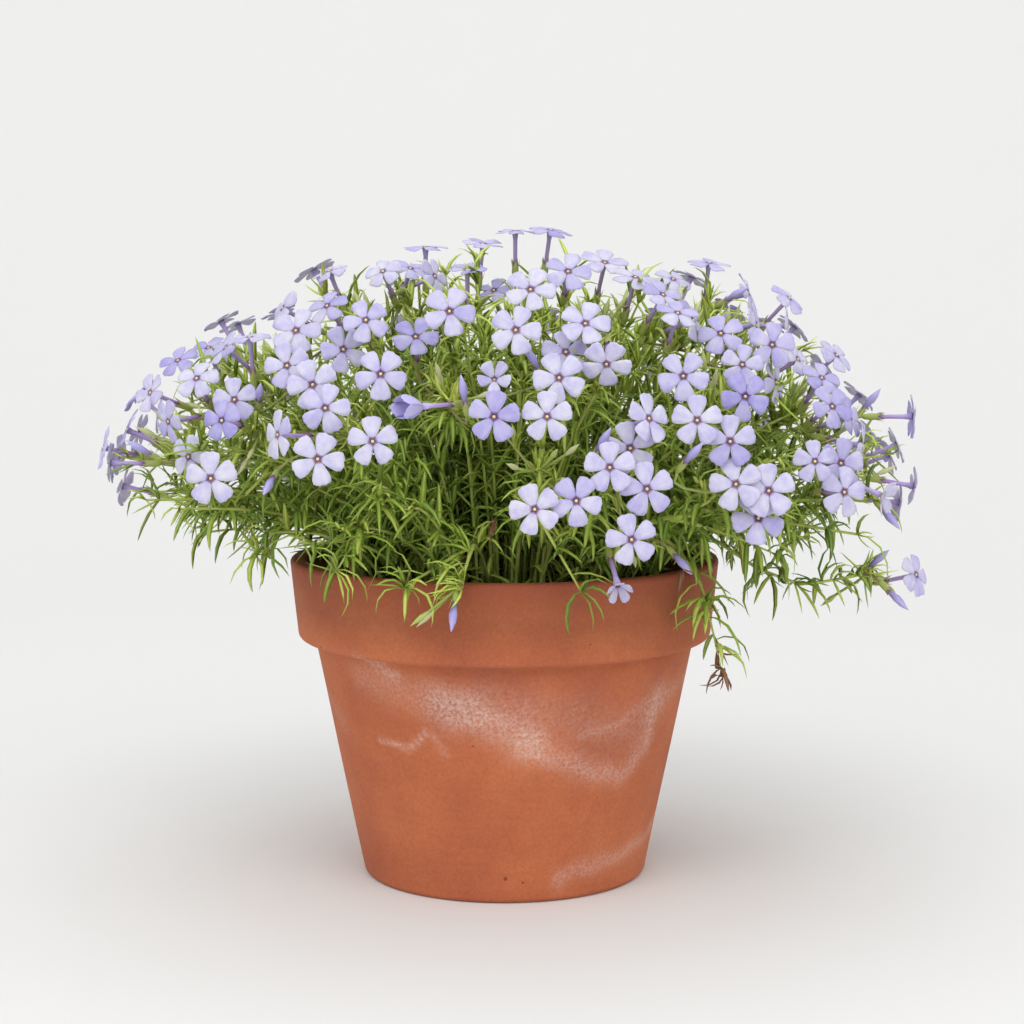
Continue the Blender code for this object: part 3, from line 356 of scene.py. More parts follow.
# Bark chips: a little browner than the peat, with a darker grain.
bark = new_material("bark_chips", 0.9)
here = add_node(bark, "ShaderNodeTexCoord").outputs["Object"]
grain = add_node(bark, "ShaderNodeTexNoise", {"Vector": here, "Scale": 330.0, "Detail": 3.0})
tones = add_node(bark, "ShaderNodeValToRGB", {"Fac": grain.outputs["Fac"]},
                 [(0.3, hex_colour("#1C130D")), (0.75, hex_colour("#5B4330"))])
wire(bark, tones.outputs["Color"], "Base Color")
add_chips("bark_chips", CHIPS, (1.6, 4.2), 0.4, bark)

# Perlite: puffed white volcanic glass, chalky and slightly grey in its pores.
perlite = new_material("perlite", 0.85)
here = add_node(perlite, "ShaderNodeTexCoord").outputs["Object"]
pores = add_node(perlite, "ShaderNodeTexNoise", {"Vector": here, "Scale": 1400.0})
tones = add_node(perlite, "ShaderNodeValToRGB", {"Fac": pores.outputs["Fac"]},
                 [(0.35, hex_colour("#A9A196")), (0.6, hex_colour("#F1EEE6"))])
wire(perlite, tones.outputs["Color"], "Base Color")
add_chips("perlite_grains", PERLITE, (1.4, 2.8), 0.8, perlite)


# The leafy stems: thin, springy green stems, two or three on a branch, with stiff
# narrow leaves in pairs at every joint and tufts of shorter leaves in their axils.
# The solids hold each stem with its large leaves, so every solid is taken apart
# again: a leaf is the only thing on it that ends in a point of three faces. The leaves
# that a solid bunches at one joint are shared out along the stem on either side of it.
LEAF_HALF_WIDTH = (0.95, 1.2)
LEAF_ARCH = (0.08, 0.34)
LEAF_FLATNESS = 0.34
LEAF_ROWS = ((0.0, 0.5), (0.16, 0.85), (0.42, 1.0), (0.7, 0.8), (0.9, 0.42), (1.0, 0.0))
FINE_ROWS = ((0.0, 0.55), (0.34, 1.0), (0.7, 0.75), (1.0, 0.0))
STEM_SLIMMING = 0.16
JOINT_SIZE = 3.2
SHARE_OUT = 0.46
TUFT = (0, 2)
TUFT_LENGTH = (8.0, 15.0)
DRY_TIP = Vector((77.0, -57.0, 83.0))
DRY_REACH = 11.0


def merged(node):
    """A copy of a solid's mesh whose loose triangles are joined at their corners."""
    body = bmesh.new()
    body.from_mesh(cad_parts[node].data)
    bmesh.ops.remove_doubles(body, verts=body.verts[:], dist=0.01 * MM)
    return body


def grab(piece, test):
    """Selects only the points of a piece in edit mode that pass a test."""
    body = bmesh.from_edit_mesh(piece.data)
    for vertex in body.verts:
        vertex.select_set(False)
    body.select_flush(False)
    for vertex in body.verts:
        vertex.select_set(test(vertex.co))
    body.select_flush(True)
    bmesh.update_edit_mesh(piece.data)


def slice_across(piece, axis, places):
    """Cuts a ring of points round a piece at each place along an axis."""
    for place in places:
        grab(piece, lambda co: True)
        where = [0.0, 0.0, 0.0]
        where[axis] = place
        normal = [0.0, 0.0, 0.0]
        normal[axis] = 1.0
        bpy.ops.mesh.bisect(plane_co=where, plane_no=normal)


def scale_ring(piece, axis, place, value):
    """Scales the ring of points at a place along an axis, about that axis."""
    grab(piece, lambda co: abs(co[axis] - place) < 1e-4)
    centre = [0.0, 0.0, 0.0]
    centre[axis] = place
    bpy.ops.transform.resize(value=value, center_override=centre)


def put_by(piece):
    """Takes a modelled shape out of the scene and keeps its mesh to copy from."""
    bpy.ops.object.mode_set(mode="OBJECT")
    stock = piece.data
    bpy.data.objects.remove(piece)
    return stock


def leaf_shape(name, rows):
    """A blade one unit long on X and one wide each way: a slim wedge with its keel down."""
    bpy.ops.object.select_all(action="DESELECT")
    bpy.ops.mesh.primitive_cylinder_add(vertices=3, radius=1.15, depth=1.0, location=(0.5, 0, 0),
                                        rotation=(math.radians(90), 0, math.radians(90)))
    bpy.ops.object.transform_apply(location=True, rotation=True, scale=True)
    blade = bpy.context.active_object
    blade.data.name = name
    bpy.ops.object.mode_set(mode="EDIT")
    slice_across(blade, 0, [place for place, _ in rows[1:-1]])
    grab(blade, lambda co: True)
    bpy.ops.transform.resize(value=(1.0, 1.0, LEAF_FLATNESS), center_override=(0, 0, 0))
    for place, width in rows[:-1]:
        scale_ring(blade, 0, place, (1.0, width, width))
    grab(blade, lambda co: co.x > 0.999)
    bpy.ops.mesh.merge(type="CENTER")
    return put_by(blade)


leaf_stock = leaf_shape("leaf", LEAF_ROWS)
fine_leaf_stock = leaf_shape("fine_leaf", FINE_ROWS)


class Growth:
    """Copies of modelled leaves, petals and stalks that make up one piece."""

    def __init__(self):
        self.points, self.faces, self.surfaces = [], [], []
        self.values = {"reach": [], "across": [], "tint": []}

    def point(self, place, reach, across, tint):
        self.points.append(place)
        self.values["reach"].append(reach)
        self.values["across"].append(across)
        self.values["tint"].append(tint)
        return len(self.points) - 1

    def copy(self, stock, place, tint, along=0, surface=0):
        """Adds a modelled shape, each of its points put where place says."""
        first = len(self.points)
        for vertex in stock.vertices:
            co = vertex.co
            self.point(place(co), co[along], co[1 - min(along, 1)], tint)
        for face in stock.polygons:
            self.faces.append([first + corner for corner in face.vertices])
            self.surfaces.append(surface)

    def stalk(self, points, radii, sides, tint, surface=0):
        """A round stalk along a line of points, closed at both ends."""
        side = (points[1] - points[0]).orthogonal()
        low = None
        for number, (point, radius) in enumerate(zip(points, radii)):
            ahead = points[min(number + 1, len(points) - 1)]
            way = (ahead - points[max(number - 1, 0)]).normalized()
            side = side_of(way, side)
            other = way.cross(side)
            share = number / (len(points) - 1)
            ring = [self.point(point + (side * math.cos(a) + other * math.sin(a)) * radius, share,
                               0.0, tint)
                    for a in (2.0 * math.pi * k / sides for k in range(sides))]
            if low is None:
                self.faces.append(ring[::-1])
                self.surfaces.append(surface)
            else:
                for k in range(sides):
                    n = (k + 1) % sides
                    self.faces.append([low[k], low[n], ring[n], ring[k]])
                    self.surfaces.append(surface)
            low = ring
        self.faces.append(low)
        self.surfaces.append(surface)

    def piece(self, name, materials, slot, nodes=()):
        """Makes a scene piece of what has grown, in place of the named solids."""
        mesh = bpy.data.meshes.new(name)
        mesh.from_pydata([point * MM for point in self.points], [], self.faces)
        for key, values in self.values.items():
            mesh.attributes.new(key, "FLOAT", "POINT").data.foreach_set("value", values)
        for material in materials:
            mesh.materials.append(material)
        mesh.polygons.foreach_set("material_index", self.surfaces)
        mesh.shade_smooth()
        made = add_piece(name, mesh)
        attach(made, "root")
        if nodes:
            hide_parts(*nodes)
        return made


def side_of(way, near):
    """A unit vector square to way, as near as can be to another."""
    side = near - way * near.dot(way)
    return side.normalized() if side.length > 1e-6 else way.orthogonal().normalized()


def clamp(value):
    return min(1.0, max(0.0, value))


def grow_leaf(growth, base, tip, half_width, arch, tint, stock=leaf_stock):
    """Copies the leaf onto an arched line from base to tip."""
    span = tip - base
    way = span.normalized()
    up = side_of(way, Vector((0.0, 0.0, 1.0)))
    across = up.cross(way)
    one = base + span * 0.25 + up * (arch * span.length * 1.4)
    two = base + span * 0.7 + up * (arch * span.length * 1.2)

    def place(co):
        t = co.x
        middle = (base * (1 - t) ** 3 + one * (3 * t * (1 - t) ** 2) + two * (3 * t * t * (1 - t))
                  + tip * t ** 3)
        return middle + (across * co.y + up * co.z) * half_width

    growth.copy(stock, place, tint)


def in_free_air(place):
    """True outside the pot's wall and rim and above the compost."""
    radius = math.hypot(place.x, place.y)
    if radius > RIM_RADIUS + 1.0 or place.z > POT_HEIGHT + 0.8:
        return True
    return radius < RIM_RADIUS - WALL - 1.0 and place.z > SOIL_TOP + 1.0


def in_front_gap(place):
    """True in the bare patch behind the front lip, where the compost shows."""
    return place.y < -38.0 and -14.0 < place.x < 22.0 and place.z < 128.0


def open_way(base, tip):
    """True if a straight blade from base to tip clears the pot and the bare patch."""
    return all(in_free_air(base.lerp(tip, t)) and not in_front_gap(base.lerp(tip, t))
               for t in (0.35, 0.7, 1.0))


def grow_tuft(growth, base, way, count, lengths, spread, tint):
    """A tuft of short leaves that fan out of one axil."""
    for _ in range(count):
        stray = Vector((draw.gauss(0, 1), draw.gauss(0, 1), draw.gauss(0.25, 0.8))) * spread
        tip = base + (way + stray).normalized() * draw.uniform(*lengths)
        if open_way(base, tip):
            grow_leaf(growth, base, tip, draw.uniform(0.75, 1.0), draw.uniform(-0.1, 0.34),
                      clamp(tint + draw.gauss(0, 0.2)), fine_leaf_stock)


def pull_leaves(body):
    """Takes the leaves off a solid and returns each one's tip and three corners."""
    leaves = []
    for tip in [vertex for vertex in body.verts if len(vertex.link_faces) == 3]:
        face = tip.link_faces[0]
        corners = [edge.other_vert(tip) for edge in tip.link_edges]
        order = list(face.verts)
        turn_of_face = order[order.index(tip):] + order[:order.index(tip)]
        third = next(corner for corner in corners if corner not in turn_of_face)
        leaves.append((tip.co / MM, corners))
        bmesh.ops.delete(body, geom=[tip], context="VERTS")
        body.faces.new((turn_of_face[1], turn_of_face[2], third))
    return leaves


def middle_of(vertices):
    return sum((v.co for v in vertices), Vector()) / len(vertices) / MM


def find_runs(body):
    """Finds a bare stem's joints, and the straight runs that meet at each of them."""
    joint = {}
    for vertex in body.verts:
        queue = [] if vertex in joint else [vertex]
        while queue:
            here = queue.pop()
            joint[here] = vertex
            queue += [edge.other_vert(here) for edge in here.link_edges
                      if edge.calc_length() < JOINT_SIZE * MM and edge.other_vert(here) not in joint]
    links = {}
    for edge in body.edges:
        a, b = edge.verts
        if joint[a] is not joint[b]:
            links.setdefault((joint[a], joint[b]), set()).add(a)
            links.setdefault((joint[b], joint[a]), set()).add(b)
    runs = {}
    for (a, b), near in links.items():
        runs.setdefault(a, []).append((middle_of(near), middle_of(links[b, a])))
    return joint, runs


# Living leaf: mid to yellow green with a paler midrib, waxy enough for a soft sheen.
leaf_green = new_material("phlox_leaf", 0.5)
tint = add_node(leaf_green, "ShaderNodeAttribute", attribute_name="tint")
tones = add_node(leaf_green, "ShaderNodeValToRGB", {"Fac": tint.outputs["Fac"]},
                 [(0.0, hex_colour("#587A1A")), (1.0, hex_colour("#CCD862")),
                  (0.5, hex_colour("#96B138"))])
across = add_node(leaf_green, "ShaderNodeAttribute", attribute_name="across")
from_rib = add_node(leaf_green, "ShaderNodeMath", {0: across.outputs["Fac"]},
                    operation="ABSOLUTE")
rib = add_node(leaf_green, "ShaderNodeMapRange",
               {"Value": from_rib.outputs["Value"], "From Min": 0.0, "From Max": 0.4,
                "To Min": 0.3, "To Max": 0.0})
ribbed = add_node(leaf_green, "ShaderNodeMix",
                  {0: rib.outputs["Result"], 6: tones.outputs["Color"],
                   7: hex_colour("#B9C878")}, data_type="RGBA")
here = add_node(leaf_green, "ShaderNodeTexCoord").outputs["Object"]
mottle = add_node(leaf_green, "ShaderNodeTexNoise", {"Vector": here, "Scale": 300.0})
mottle_shade = add_node(leaf_green, "ShaderNodeMapRange",
                        {"Value": mottle.outputs["Fac"], "To Min": 0.75, "To Max": 1.25})
mottled = add_node(leaf_green, "ShaderNodeMix",
                   {0: 1.0, 6: ribbed.outputs[2], 7: mottle_shade.outputs["Result"]},
                   data_type="RGBA", blend_type="MULTIPLY")
wire(leaf_green, mottled.outputs[2], "Base Color")

# Young stem: yellower and paler than the leaves, downy and so without a shine.
stem_green = new_material("phlox_stem", 0.6)
here = add_node(stem_green, "ShaderNodeTexCoord").outputs["Object"]
streaks = add_node(stem_green, "ShaderNodeTexNoise", {"Vector": here, "Scale": 120.0})
tones = add_node(stem_green, "ShaderNodeValToRGB", {"Fac": streaks.outputs["Fac"]},
                 [(0.3, hex_colour("#99AD40")), (0.7, hex_colour("#C0C86D"))])
wire(stem_green, tones.outputs["Color"], "Base Color")

litter = Growth()
stem_ends = []
for node in sorted(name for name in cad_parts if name.startswith("leafy_stem")):
    number = node[-2:]
    body = merged(node)
    leaves = pull_leaves(body)
    joint, runs = find_runs(body)
    stem_ends += [vertex.co / MM for vertex in body.verts]
    foliage = Growth()
    for tip, corners in leaves:
        shade = draw.uniform(0.2, 0.9)
        start, end = draw.choice(runs[joint[corners[0]]])
        slide = (end - start) * draw.uniform(0.0, SHARE_OUT)
        foot, tip = start + slide, tip + slide * 0.8
        if not open_way(foot, tip):
            continue
        if (foot - DRY_TIP).length < DRY_REACH:
            grow_leaf(litter, foot, foot.lerp(tip, 0.7), 0.9, draw.uniform(-0.4, 0.4), 0.4 * shade)
            continue
        grow_leaf(foliage, foot, tip, draw.uniform(*LEAF_HALF_WIDTH), draw.uniform(*LEAF_ARCH),
                  shade)
        grow_tuft(foliage, foot, (tip - foot).normalized(), draw.randint(*TUFT), TUFT_LENGTH, 0.55,
                  shade)
    foliage.piece(f"leaves_{number}", [leaf_green], "foliage", [node])

    mesh = bpy.data.meshes.new(f"stem_{number}")
    body.to_mesh(mesh)
    body.free()
    mesh.materials.append(stem_green)
    stem = add_piece(f"stem_{number}", mesh)
    select_only(stem)
    bpy.ops.object.mode_set(mode="EDIT")
    bpy.ops.mesh.select_all(action="SELECT")
    bpy.ops.mesh.tris_convert_to_quads()
    bpy.ops.transform.shrink_fatten(value=-STEM_SLIMMING * MM)
    bpy.ops.object.mode_set(mode="OBJECT")
    bpy.ops.object.modifier_add(type="SUBSURF")
    smooth = stem.modifiers[-1]
    smooth.levels = smooth.render_levels = 1
    bpy.ops.object.modifier_apply(modifier=smooth.name)
    bpy.ops.object.shade_smooth()
    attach(stem, "root")
    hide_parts(node)


# The fine shoots: the many thin flowerless shoots that crowd the middle of the mound
# between the flowering stems. Their leaves are painted darker at the foot and paler higher
# up, as painted shade and light.
SHOOTS = 205
SKIRT = 80
SHOOT_RADIUS = 0.72
SHOOT_POINTS = 14
JOINT_STEP = 7.5
SIDE_LEAF = 0.5
MOUND = Vector((150.0, 130.0, 100.0))
MOUND_MIDDLE = 140.0


def bend(a, b, c, d, count):
    """Points on a smooth curve from a to d that leaves toward b and arrives from c."""
    shares = [number / (count - 1) for number in range(count)]
    return [a * (1 - t) ** 3 + b * (3 * t * (1 - t) ** 2) + c * (3 * t * t * (1 - t)) + d * t ** 3
            for t in shares]


def grow_shoot(stalks, foliage, number):
    """One thin shoot from the compost to a place inside the mound, with its leaves.

    The first shoots fill the middle, and the last, the skirt, arch over the pot's rim.
    """
    azimuth = 2.39996 * number + draw.uniform(-0.2, 0.2)
    out = Vector((math.cos(azimuth), math.sin(azimuth), 0.0))
    if number < SHOOTS:
        flat = math.sqrt((number + 0.5) / SHOOTS)
        low = flat > 0.72
        depth = draw.uniform(0.66, 0.93) if low else draw.uniform(0.6, 0.9)
        slope = draw.uniform(-0.12, 0.6) if low else draw.uniform(0.02, 1.0)
        rise = math.sqrt(max(0.0, 1.0 - flat * flat)) * 0.6 + slope * 0.42
    else:
        flat, rise, depth = 1.0, draw.uniform(-0.16, 0.3), draw.uniform(0.7, 0.96)
    aim = Vector((out.x * flat, out.y * flat, rise)).normalized() * depth
    top = Vector((aim.x * MOUND.x, aim.y * MOUND.y, MOUND_MIDDLE + aim.z * MOUND.z))
    root = out * (58.0 * flat * draw.uniform(0.7, 1.0))
    root.z = SOIL_TOP - 2.0
    up = Vector((0.0, 0.0, 0.45 * (top - root).length))
    way = bend(root, root + up + out * 6.0, top - aim.normalized() * 18.0, top, SHOOT_POINTS)
    if any(in_front_gap(point) for point in way):
        return
    stalks.stalk(way, [SHOOT_RADIUS * (1.1 - 0.5 * k / SHOOT_POINTS) for k in range(SHOOT_POINTS)],
                 4, draw.random())
    turned = draw.uniform(0, 6.3)
    run = 0.0
    for a, b in zip(way, way[1:]):
        run += (b - a).length
        if run < JOINT_STEP or a.z < SOIL_TOP + 5.0:
            continue
        run = 0.0
        axis = (b - a).normalized()
        side = axis.orthogonal().normalized()
        turned += math.pi / 2
        # Painted light and shade: leaves higher in the mound get paler tints, lower ones darker.
        shade = clamp(draw.uniform(0.0, 0.5) + 0.4 * (b.z - 120.0) / 80.0)
        for half in (0.0, math.pi):
            blade = Matrix.Rotation(turned + half, 3, axis) @ side
            lift = draw.uniform(0.35, 1.1)
            tip = b + (blade + axis * lift).normalized() * draw.uniform(12.0, 20.0)
            tip.z -= draw.uniform(-1.0, 4.0)
            if open_way(b, tip):
                grow_leaf(foliage, b, tip, draw.uniform(0.85, 1.15), draw.uniform(-0.05, 0.36),
                          clamp(shade + draw.gauss(0, 0.12)))
            if draw.random() < SIDE_LEAF:
                grow_tuft(foliage, b, (blade + axis * 0.8).normalized(), 1, (7.0, 13.0), 0.45,
                          shade)
    grow_tuft(foliage, top, (top - way[-2]).normalized(), 4, (5.0, 10.0), 0.5, 0.8)


for quarter in range(4):
    shoot_stalks = Growth()
    shoot_leaves = Growth()
    for number in range(quarter, SHOOTS + SKIRT, 4):
        grow_shoot(shoot_stalks, shoot_leaves, number)
    shoot_stalks.piece(f"fine_shoots_{quarter + 1}", [stem_green], "foliage")
    shoot_leaves.piece(f"fine_leaves_{quarter + 1}", [leaf_green], "foliage")


# The flower sprays: four to six flowers and buds on slender stalks from the tip of
# each leafy stem. A flower is a green cup with five teeth, a thin violet tube and
# five blunt petals round a small dark eye; a bud is the same petals furled to a point.
# A solid's flower is found by its throat, the one point where twenty faces meet.
PETAL_LENGTH = 8.6
PETAL_ROWS = ((0.07, 0.62), (0.2, 1.25), (0.38, 2.05), (0.56, 2.75), (0.74, 3.2), (0.9, 3.0),
              (1.0, 2.1))
PETAL_TIP = (-0.05, 0.0, -0.025, 0.0, -0.05)
PETAL_THICKNESS = 0.24
STALK_RADIUS = 0.52
CUP_TEETH = 5
CUP_RINGS = ((0.0, 0.5), (0.12, 1.05), (0.4, 1.35), (0.6, 1.22), (0.66, 1.28))
CUP_MOUTH = 0.66
CUP_LENGTH = 8.6
TOOTH_FLARE = 1.45
TUBE_RINGS = ((0.0, 0.62), (0.35, 0.78), (0.78, 0.84), (1.0, 1.3))
EYE_RADIUS = 0.62
BUD_RINGS = ((0.12, 0.7), (0.3, 0.95), (0.52, 1.55), (0.72, 1.25), (0.9, 0.55))
BUD_TWIST = 18.0
YOUNG_BUD_RINGS = ((0.16, 0.8), (0.4, 1.25), (0.62, 0.95), (0.84, 0.4))
FACE, EYE, TUBE, BUD = range(4)
STALK, CUP, GREEN_BUD = range(3)
GREEN_BUDS = 3
GREEN_BUD_LENGTH = 8.5
CLEAR_OF_HEAD = 9.0
HALF_OPEN = Vector((-26.0, -113.8, 182.0))
HALF_OPEN_REACH = 1.5
FRONT_ROW = -96.0
PETAL_SPREAD = (0.84, 0.98)

# The petal, once: a grid one petal long on X, drawn in to a claw at the throat, blunt
# and faintly notched at its tip, then given its thickness.
bpy.ops.object.select_all(action="DESELECT")
bpy.ops.mesh.primitive_grid_add(x_subdivisions=len(PETAL_ROWS) - 1, y_subdivisions=4, size=2.0)
petal = bpy.context.active_object
petal.data.name = "petal"
bpy.ops.object.mode_set(mode="EDIT")
columns = len(PETAL_ROWS)
for row, (place, half) in enumerate(PETAL_ROWS):
    start = 2.0 * row / (columns - 1) - 1.0
    grab(petal, lambda co: abs(co.x - start) < 0.01 and abs(co.z) < 0.01)
    bpy.ops.transform.resize(value=(1.0, half, 1.0), center_override=(0, 0, 0))
    bpy.ops.transform.translate(value=(place * PETAL_LENGTH - start, 0.0, 10.0))
grab(petal, lambda co: True)
bpy.ops.transform.translate(value=(0.0, 0.0, -10.0))
for column, notch in enumerate(PETAL_TIP):
    across_tip = (column / 2.0 - 1.0) * PETAL_ROWS[-1][1]
    grab(petal, lambda co: co.x > 0.99 * PETAL_LENGTH and abs(co.y - across_tip) < 0.01)
    bpy.ops.transform.translate(value=(notch * PETAL_LENGTH, 0.0, 0.0))
bpy.ops.object.mode_set(mode="OBJECT")
bpy.ops.object.modifier_add(type="SOLIDIFY")
petal.modifiers[-1].thickness = PETAL_THICKNESS
petal.modifiers[-1].offset = -1.0
bpy.ops.object.modifier_apply(modifier=petal.modifiers[-1].name)
petal_stock = put_by(petal)


def turned_shape(name, sides, rings):
    """A round shape one unit long on Z, each ring as wide as given."""
    bpy.ops.object.select_all(action="DESELECT")
    bpy.ops.mesh.primitive_cylinder_add(vertices=sides, radius=1.0, depth=1.0,
                                        location=(0, 0, 0.5))
    bpy.ops.object.transform_apply(location=True, rotation=True, scale=True)
    made = bpy.context.active_object
    made.data.name = name
    bpy.ops.object.mode_set(mode="EDIT")
    slice_across(made, 2, [place for place, _ in rings if 0.0 < place < 1.0])
    for place, width in rings:
        scale_ring(made, 2, place, (width, width, 1.0))
    return made


tube_stock = put_by(turned_shape("corolla_tube", 6, TUBE_RINGS))

# The bud, once: a spindle whose rings are each turned a little further, so that its
# furled petals wind round it.
bud = turned_shape("furled_bud", 5, ((0.0, 0.6),) + BUD_RINGS + ((1.0, 0.1),))
for number, (place, _) in enumerate(BUD_RINGS):
    grab(bud, lambda co: abs(co.z - place) < 1e-4)
    bpy.ops.transform.rotate(value=math.radians(BUD_TWIST * (number + 1)), orient_axis="Z",
                             center_override=(0, 0, place))
bud_stock = put_by(bud)
young_bud_stock = put_by(turned_shape("young_bud", 5, ((0.0, 0.4),) + YOUNG_BUD_RINGS
                                      + ((1.0, 0.04),)))

# The cup, once: a ribbed sleeve with a hollow mouth, whose rim is drawn up into teeth.
cup = turned_shape("flower_cup", 2 * CUP_TEETH, CUP_RINGS[:-1] + ((1.0, 1.28),))
grab(cup, lambda co: co.z > 0.999)
bpy.ops.transform.translate(value=(0.0, 0.0, CUP_MOUTH - 1.0))
bpy.ops.mesh.select_mode(type="FACE")
bpy.ops.mesh.inset(thickness=0.22)
bpy.ops.transform.translate(value=(0.0, 0.0, -0.05))
bpy.ops.mesh.select_mode(type="VERT")
for tooth in range(CUP_TEETH):
    angle = 2.0 * math.pi * tooth / CUP_TEETH
    corner = Vector((math.sin(angle), math.cos(angle))) * CUP_RINGS[-1][1]
    grab(cup, lambda co: abs(co.z - CUP_MOUTH) < 1e-3 and (co.xy - corner).length < 0.1)
    bpy.ops.transform.translate(value=(corner.x * (TOOTH_FLARE - 1.0),
                                       corner.y * (TOOTH_FLARE - 1.0), 1.0 - CUP_MOUTH))
cup_stock = put_by(cup)

# The eye, once: a low dome of anthers in the mouth of the tube.
bpy.ops.object.select_all(action="DESELECT")
bpy.ops.mesh.primitive_ico_sphere_add(subdivisions=1, radius=1.0)
eye = bpy.context.active_object
bpy.ops.object.mode_set(mode="EDIT")
grab(eye, lambda co: True)
bpy.ops.transform.resize(value=(1.0, 1.0, 0.6), center_override=(0, 0, 0))
eye_stock = put_by(eye)


def levels_from(vertex, count):
    """The points of a solid by how many edges away from one point they lie."""
    seen = {vertex}
    found = [[vertex]]
    for _ in range(count):
        ring = {edge.other_vert(v) for v in found[-1] for edge in v.link_edges} - seen
        seen |= ring
        found.append(list(ring))
    return found


def read_flower(throat):
    """A flower's throat, axis, petal tips, cup foot and stalk base from its solid."""
    levels = levels_from(throat, 4)
    axis = sum((face.normal for face in throat.link_faces), Vector()).normalized()
    centre = throat.co / MM
    arms = [v.co / MM - centre for v in levels[1]]
    flat = [arm - axis * arm.dot(axis) for arm in arms]
    order = sorted(range(20), key=lambda k: -flat[k].length)
    first = flat[order[0]].normalized()
    second = axis.cross(first)
    angle = {k: math.atan2(flat[k].dot(second), flat[k].dot(first)) for k in order}
    sinus = sorted(order[-5:], key=lambda k: angle[k])
    tips = []
    for here, after in zip(sinus, sinus[1:] + sinus[:1]):
        mid = angle[here] + ((angle[after] - angle[here]) % (2.0 * math.pi)) / 2.0
        tips.append(min(order[:15], key=lambda k: abs(
            (angle[k] - mid + math.pi) % (2.0 * math.pi) - math.pi)))
    return {"centre": centre, "axis": axis, "arms": [arms[k] for k in tips],
            "foot": middle_of(levels[3]), "base": middle_of(levels[4])}


def read_bud(tip):
    levels = levels_from(tip, 3)
    belly = middle_of(levels[1])
    return {"centre": belly, "axis": (tip.co / MM - belly).normalized(), "arms": None,
            "foot": middle_of(levels[2]), "base": middle_of(levels[3])}


def upright(origin, axis, width, length):
    """A place for copies: Z along an axis, so wide and so long."""
    side = axis.orthogonal().normalized()
    other = axis.cross(side)
    return lambda co: origin + (side * co.x + other * co.y) * width + axis * (co.z * length)


def grow_petal(growth, head, arm, tint, shut, surface, spread):
    """Copies the petal onto one of a flower's arms, with a curl and a ripple of its own.

    A flower that is still partly shut lifts its petals along its axis.
    """
    centre, axis = head["centre"], head["axis"]
    height = arm.dot(axis) + 0.5
    out = arm - axis * arm.dot(axis)
    reach = out.length * spread
    out.normalize()
    across = axis.cross(out)
    size = reach / PETAL_LENGTH
    lean, wave = draw.gauss(0, 0.09), draw.gauss(0, 0.25)
    hollow, fold = draw.uniform(-0.1, 0.6), draw.uniform(0.1, 0.9)
    wide = draw.uniform(0.93, 1.08)

    def place(co):
        s = co.x / PETAL_LENGTH
        v = co.y / 3.1
        run = s * (1.0 - 0.5 * shut * s)
        lift = (height * s + shut * PETAL_LENGTH * 0.75 * s ** 1.5 + hollow * 2.0 * s * (1.0 - s) - fold * s ** 3 + lean * co.y * s
                - 0.35 * v * v * s + wave * v * (1.0 - v * v) * s * 1.6)
        return centre + out * (run * reach) + across * (co.y * size * wide) + axis * (lift + co.z)

    growth.copy(petal_stock, place, tint, surface=surface)


def grow_flower(blooms, greens, head, tint):
    """One open flower in its cup."""
    centre, axis, foot = head["centre"], head["axis"], head["foot"]
    half_open = (centre - HALF_OPEN).length < HALF_OPEN_REACH
    spread = 1.0 if centre.y < FRONT_ROW else draw.uniform(*PETAL_SPREAD)
    for arm in head["arms"]:
        grow_petal(blooms, head, arm, clamp(tint + draw.gauss(0, 0.14)), 1.0 if half_open else 0.0,
                   BUD if half_open else FACE, spread)
    way = (centre - foot).normalized()
    start = foot + way * (0.4 * CUP_LENGTH)
    blooms.copy(tube_stock, upright(start, way, 1.0, (centre - start).length - 0.35), tint, 2, TUBE)
    blooms.copy(eye_stock, upright(centre + axis * 0.05, axis, EYE_RADIUS, EYE_RADIUS), tint, 2,
                EYE)
    greens.copy(cup_stock, upright(foot, way, 1.0, CUP_LENGTH), tint, 2, CUP)


def grow_bud(blooms, greens, head, tint):
    """One furled bud in its smaller cup."""
    foot = head["foot"]
    way = (head["centre"] - foot).normalized()
    start = foot + way * 2.6
    tip = head["centre"] + head["axis"] * 4.8
    blooms.copy(bud_stock, upright(start, (tip - start).normalized(), 1.0, (tip - start).length),
                tint, 2, BUD)
    greens.copy(cup_stock, upright(foot, way, 0.85, 0.72 * CUP_LENGTH), tint, 2, CUP)


def grow_stalk(growth, joint, head, tint):
    """A flower's own stalk, from the stem's tip to the foot of its cup."""
    foot, base = head["foot"], head["base"]
    way = (head["centre"] - foot).normalized()
    reach = (foot - joint).length
    points = bend(joint, joint.lerp(base, 1.4), foot - way * (0.4 * reach), foot + way * 0.4, 6)
    growth.stalk(points, [STALK_RADIUS * r for r in (1.5, 1.1, 0.95, 0.9, 0.95, 1.1)], 5, tint,
                 STALK)


def grow_green_bud(growth, joint, way, heads):
    """A young bud still shut in its pale cup, on a short stalk clear of the flowers."""
    stray = Vector((draw.gauss(0, 1), draw.gauss(0, 1), draw.gauss(0, 1))) * 0.4
    out = (way + stray).normalized()
    start = joint + out * draw.uniform(8.0, 17.0)
    if any((head["centre"] - start - out * 4.0).length < CLEAR_OF_HEAD for head in heads):
        return
    points = bend(joint, joint + way * 4.0, start - out * 4.0, start + out * 0.5, 5)
    growth.stalk(points, [0.5] * 5, 4, 0.3, STALK)
    growth.copy(young_bud_stock, upright(start, out, 0.85, GREEN_BUD_LENGTH), draw.random(), 2,
                GREEN_BUD)
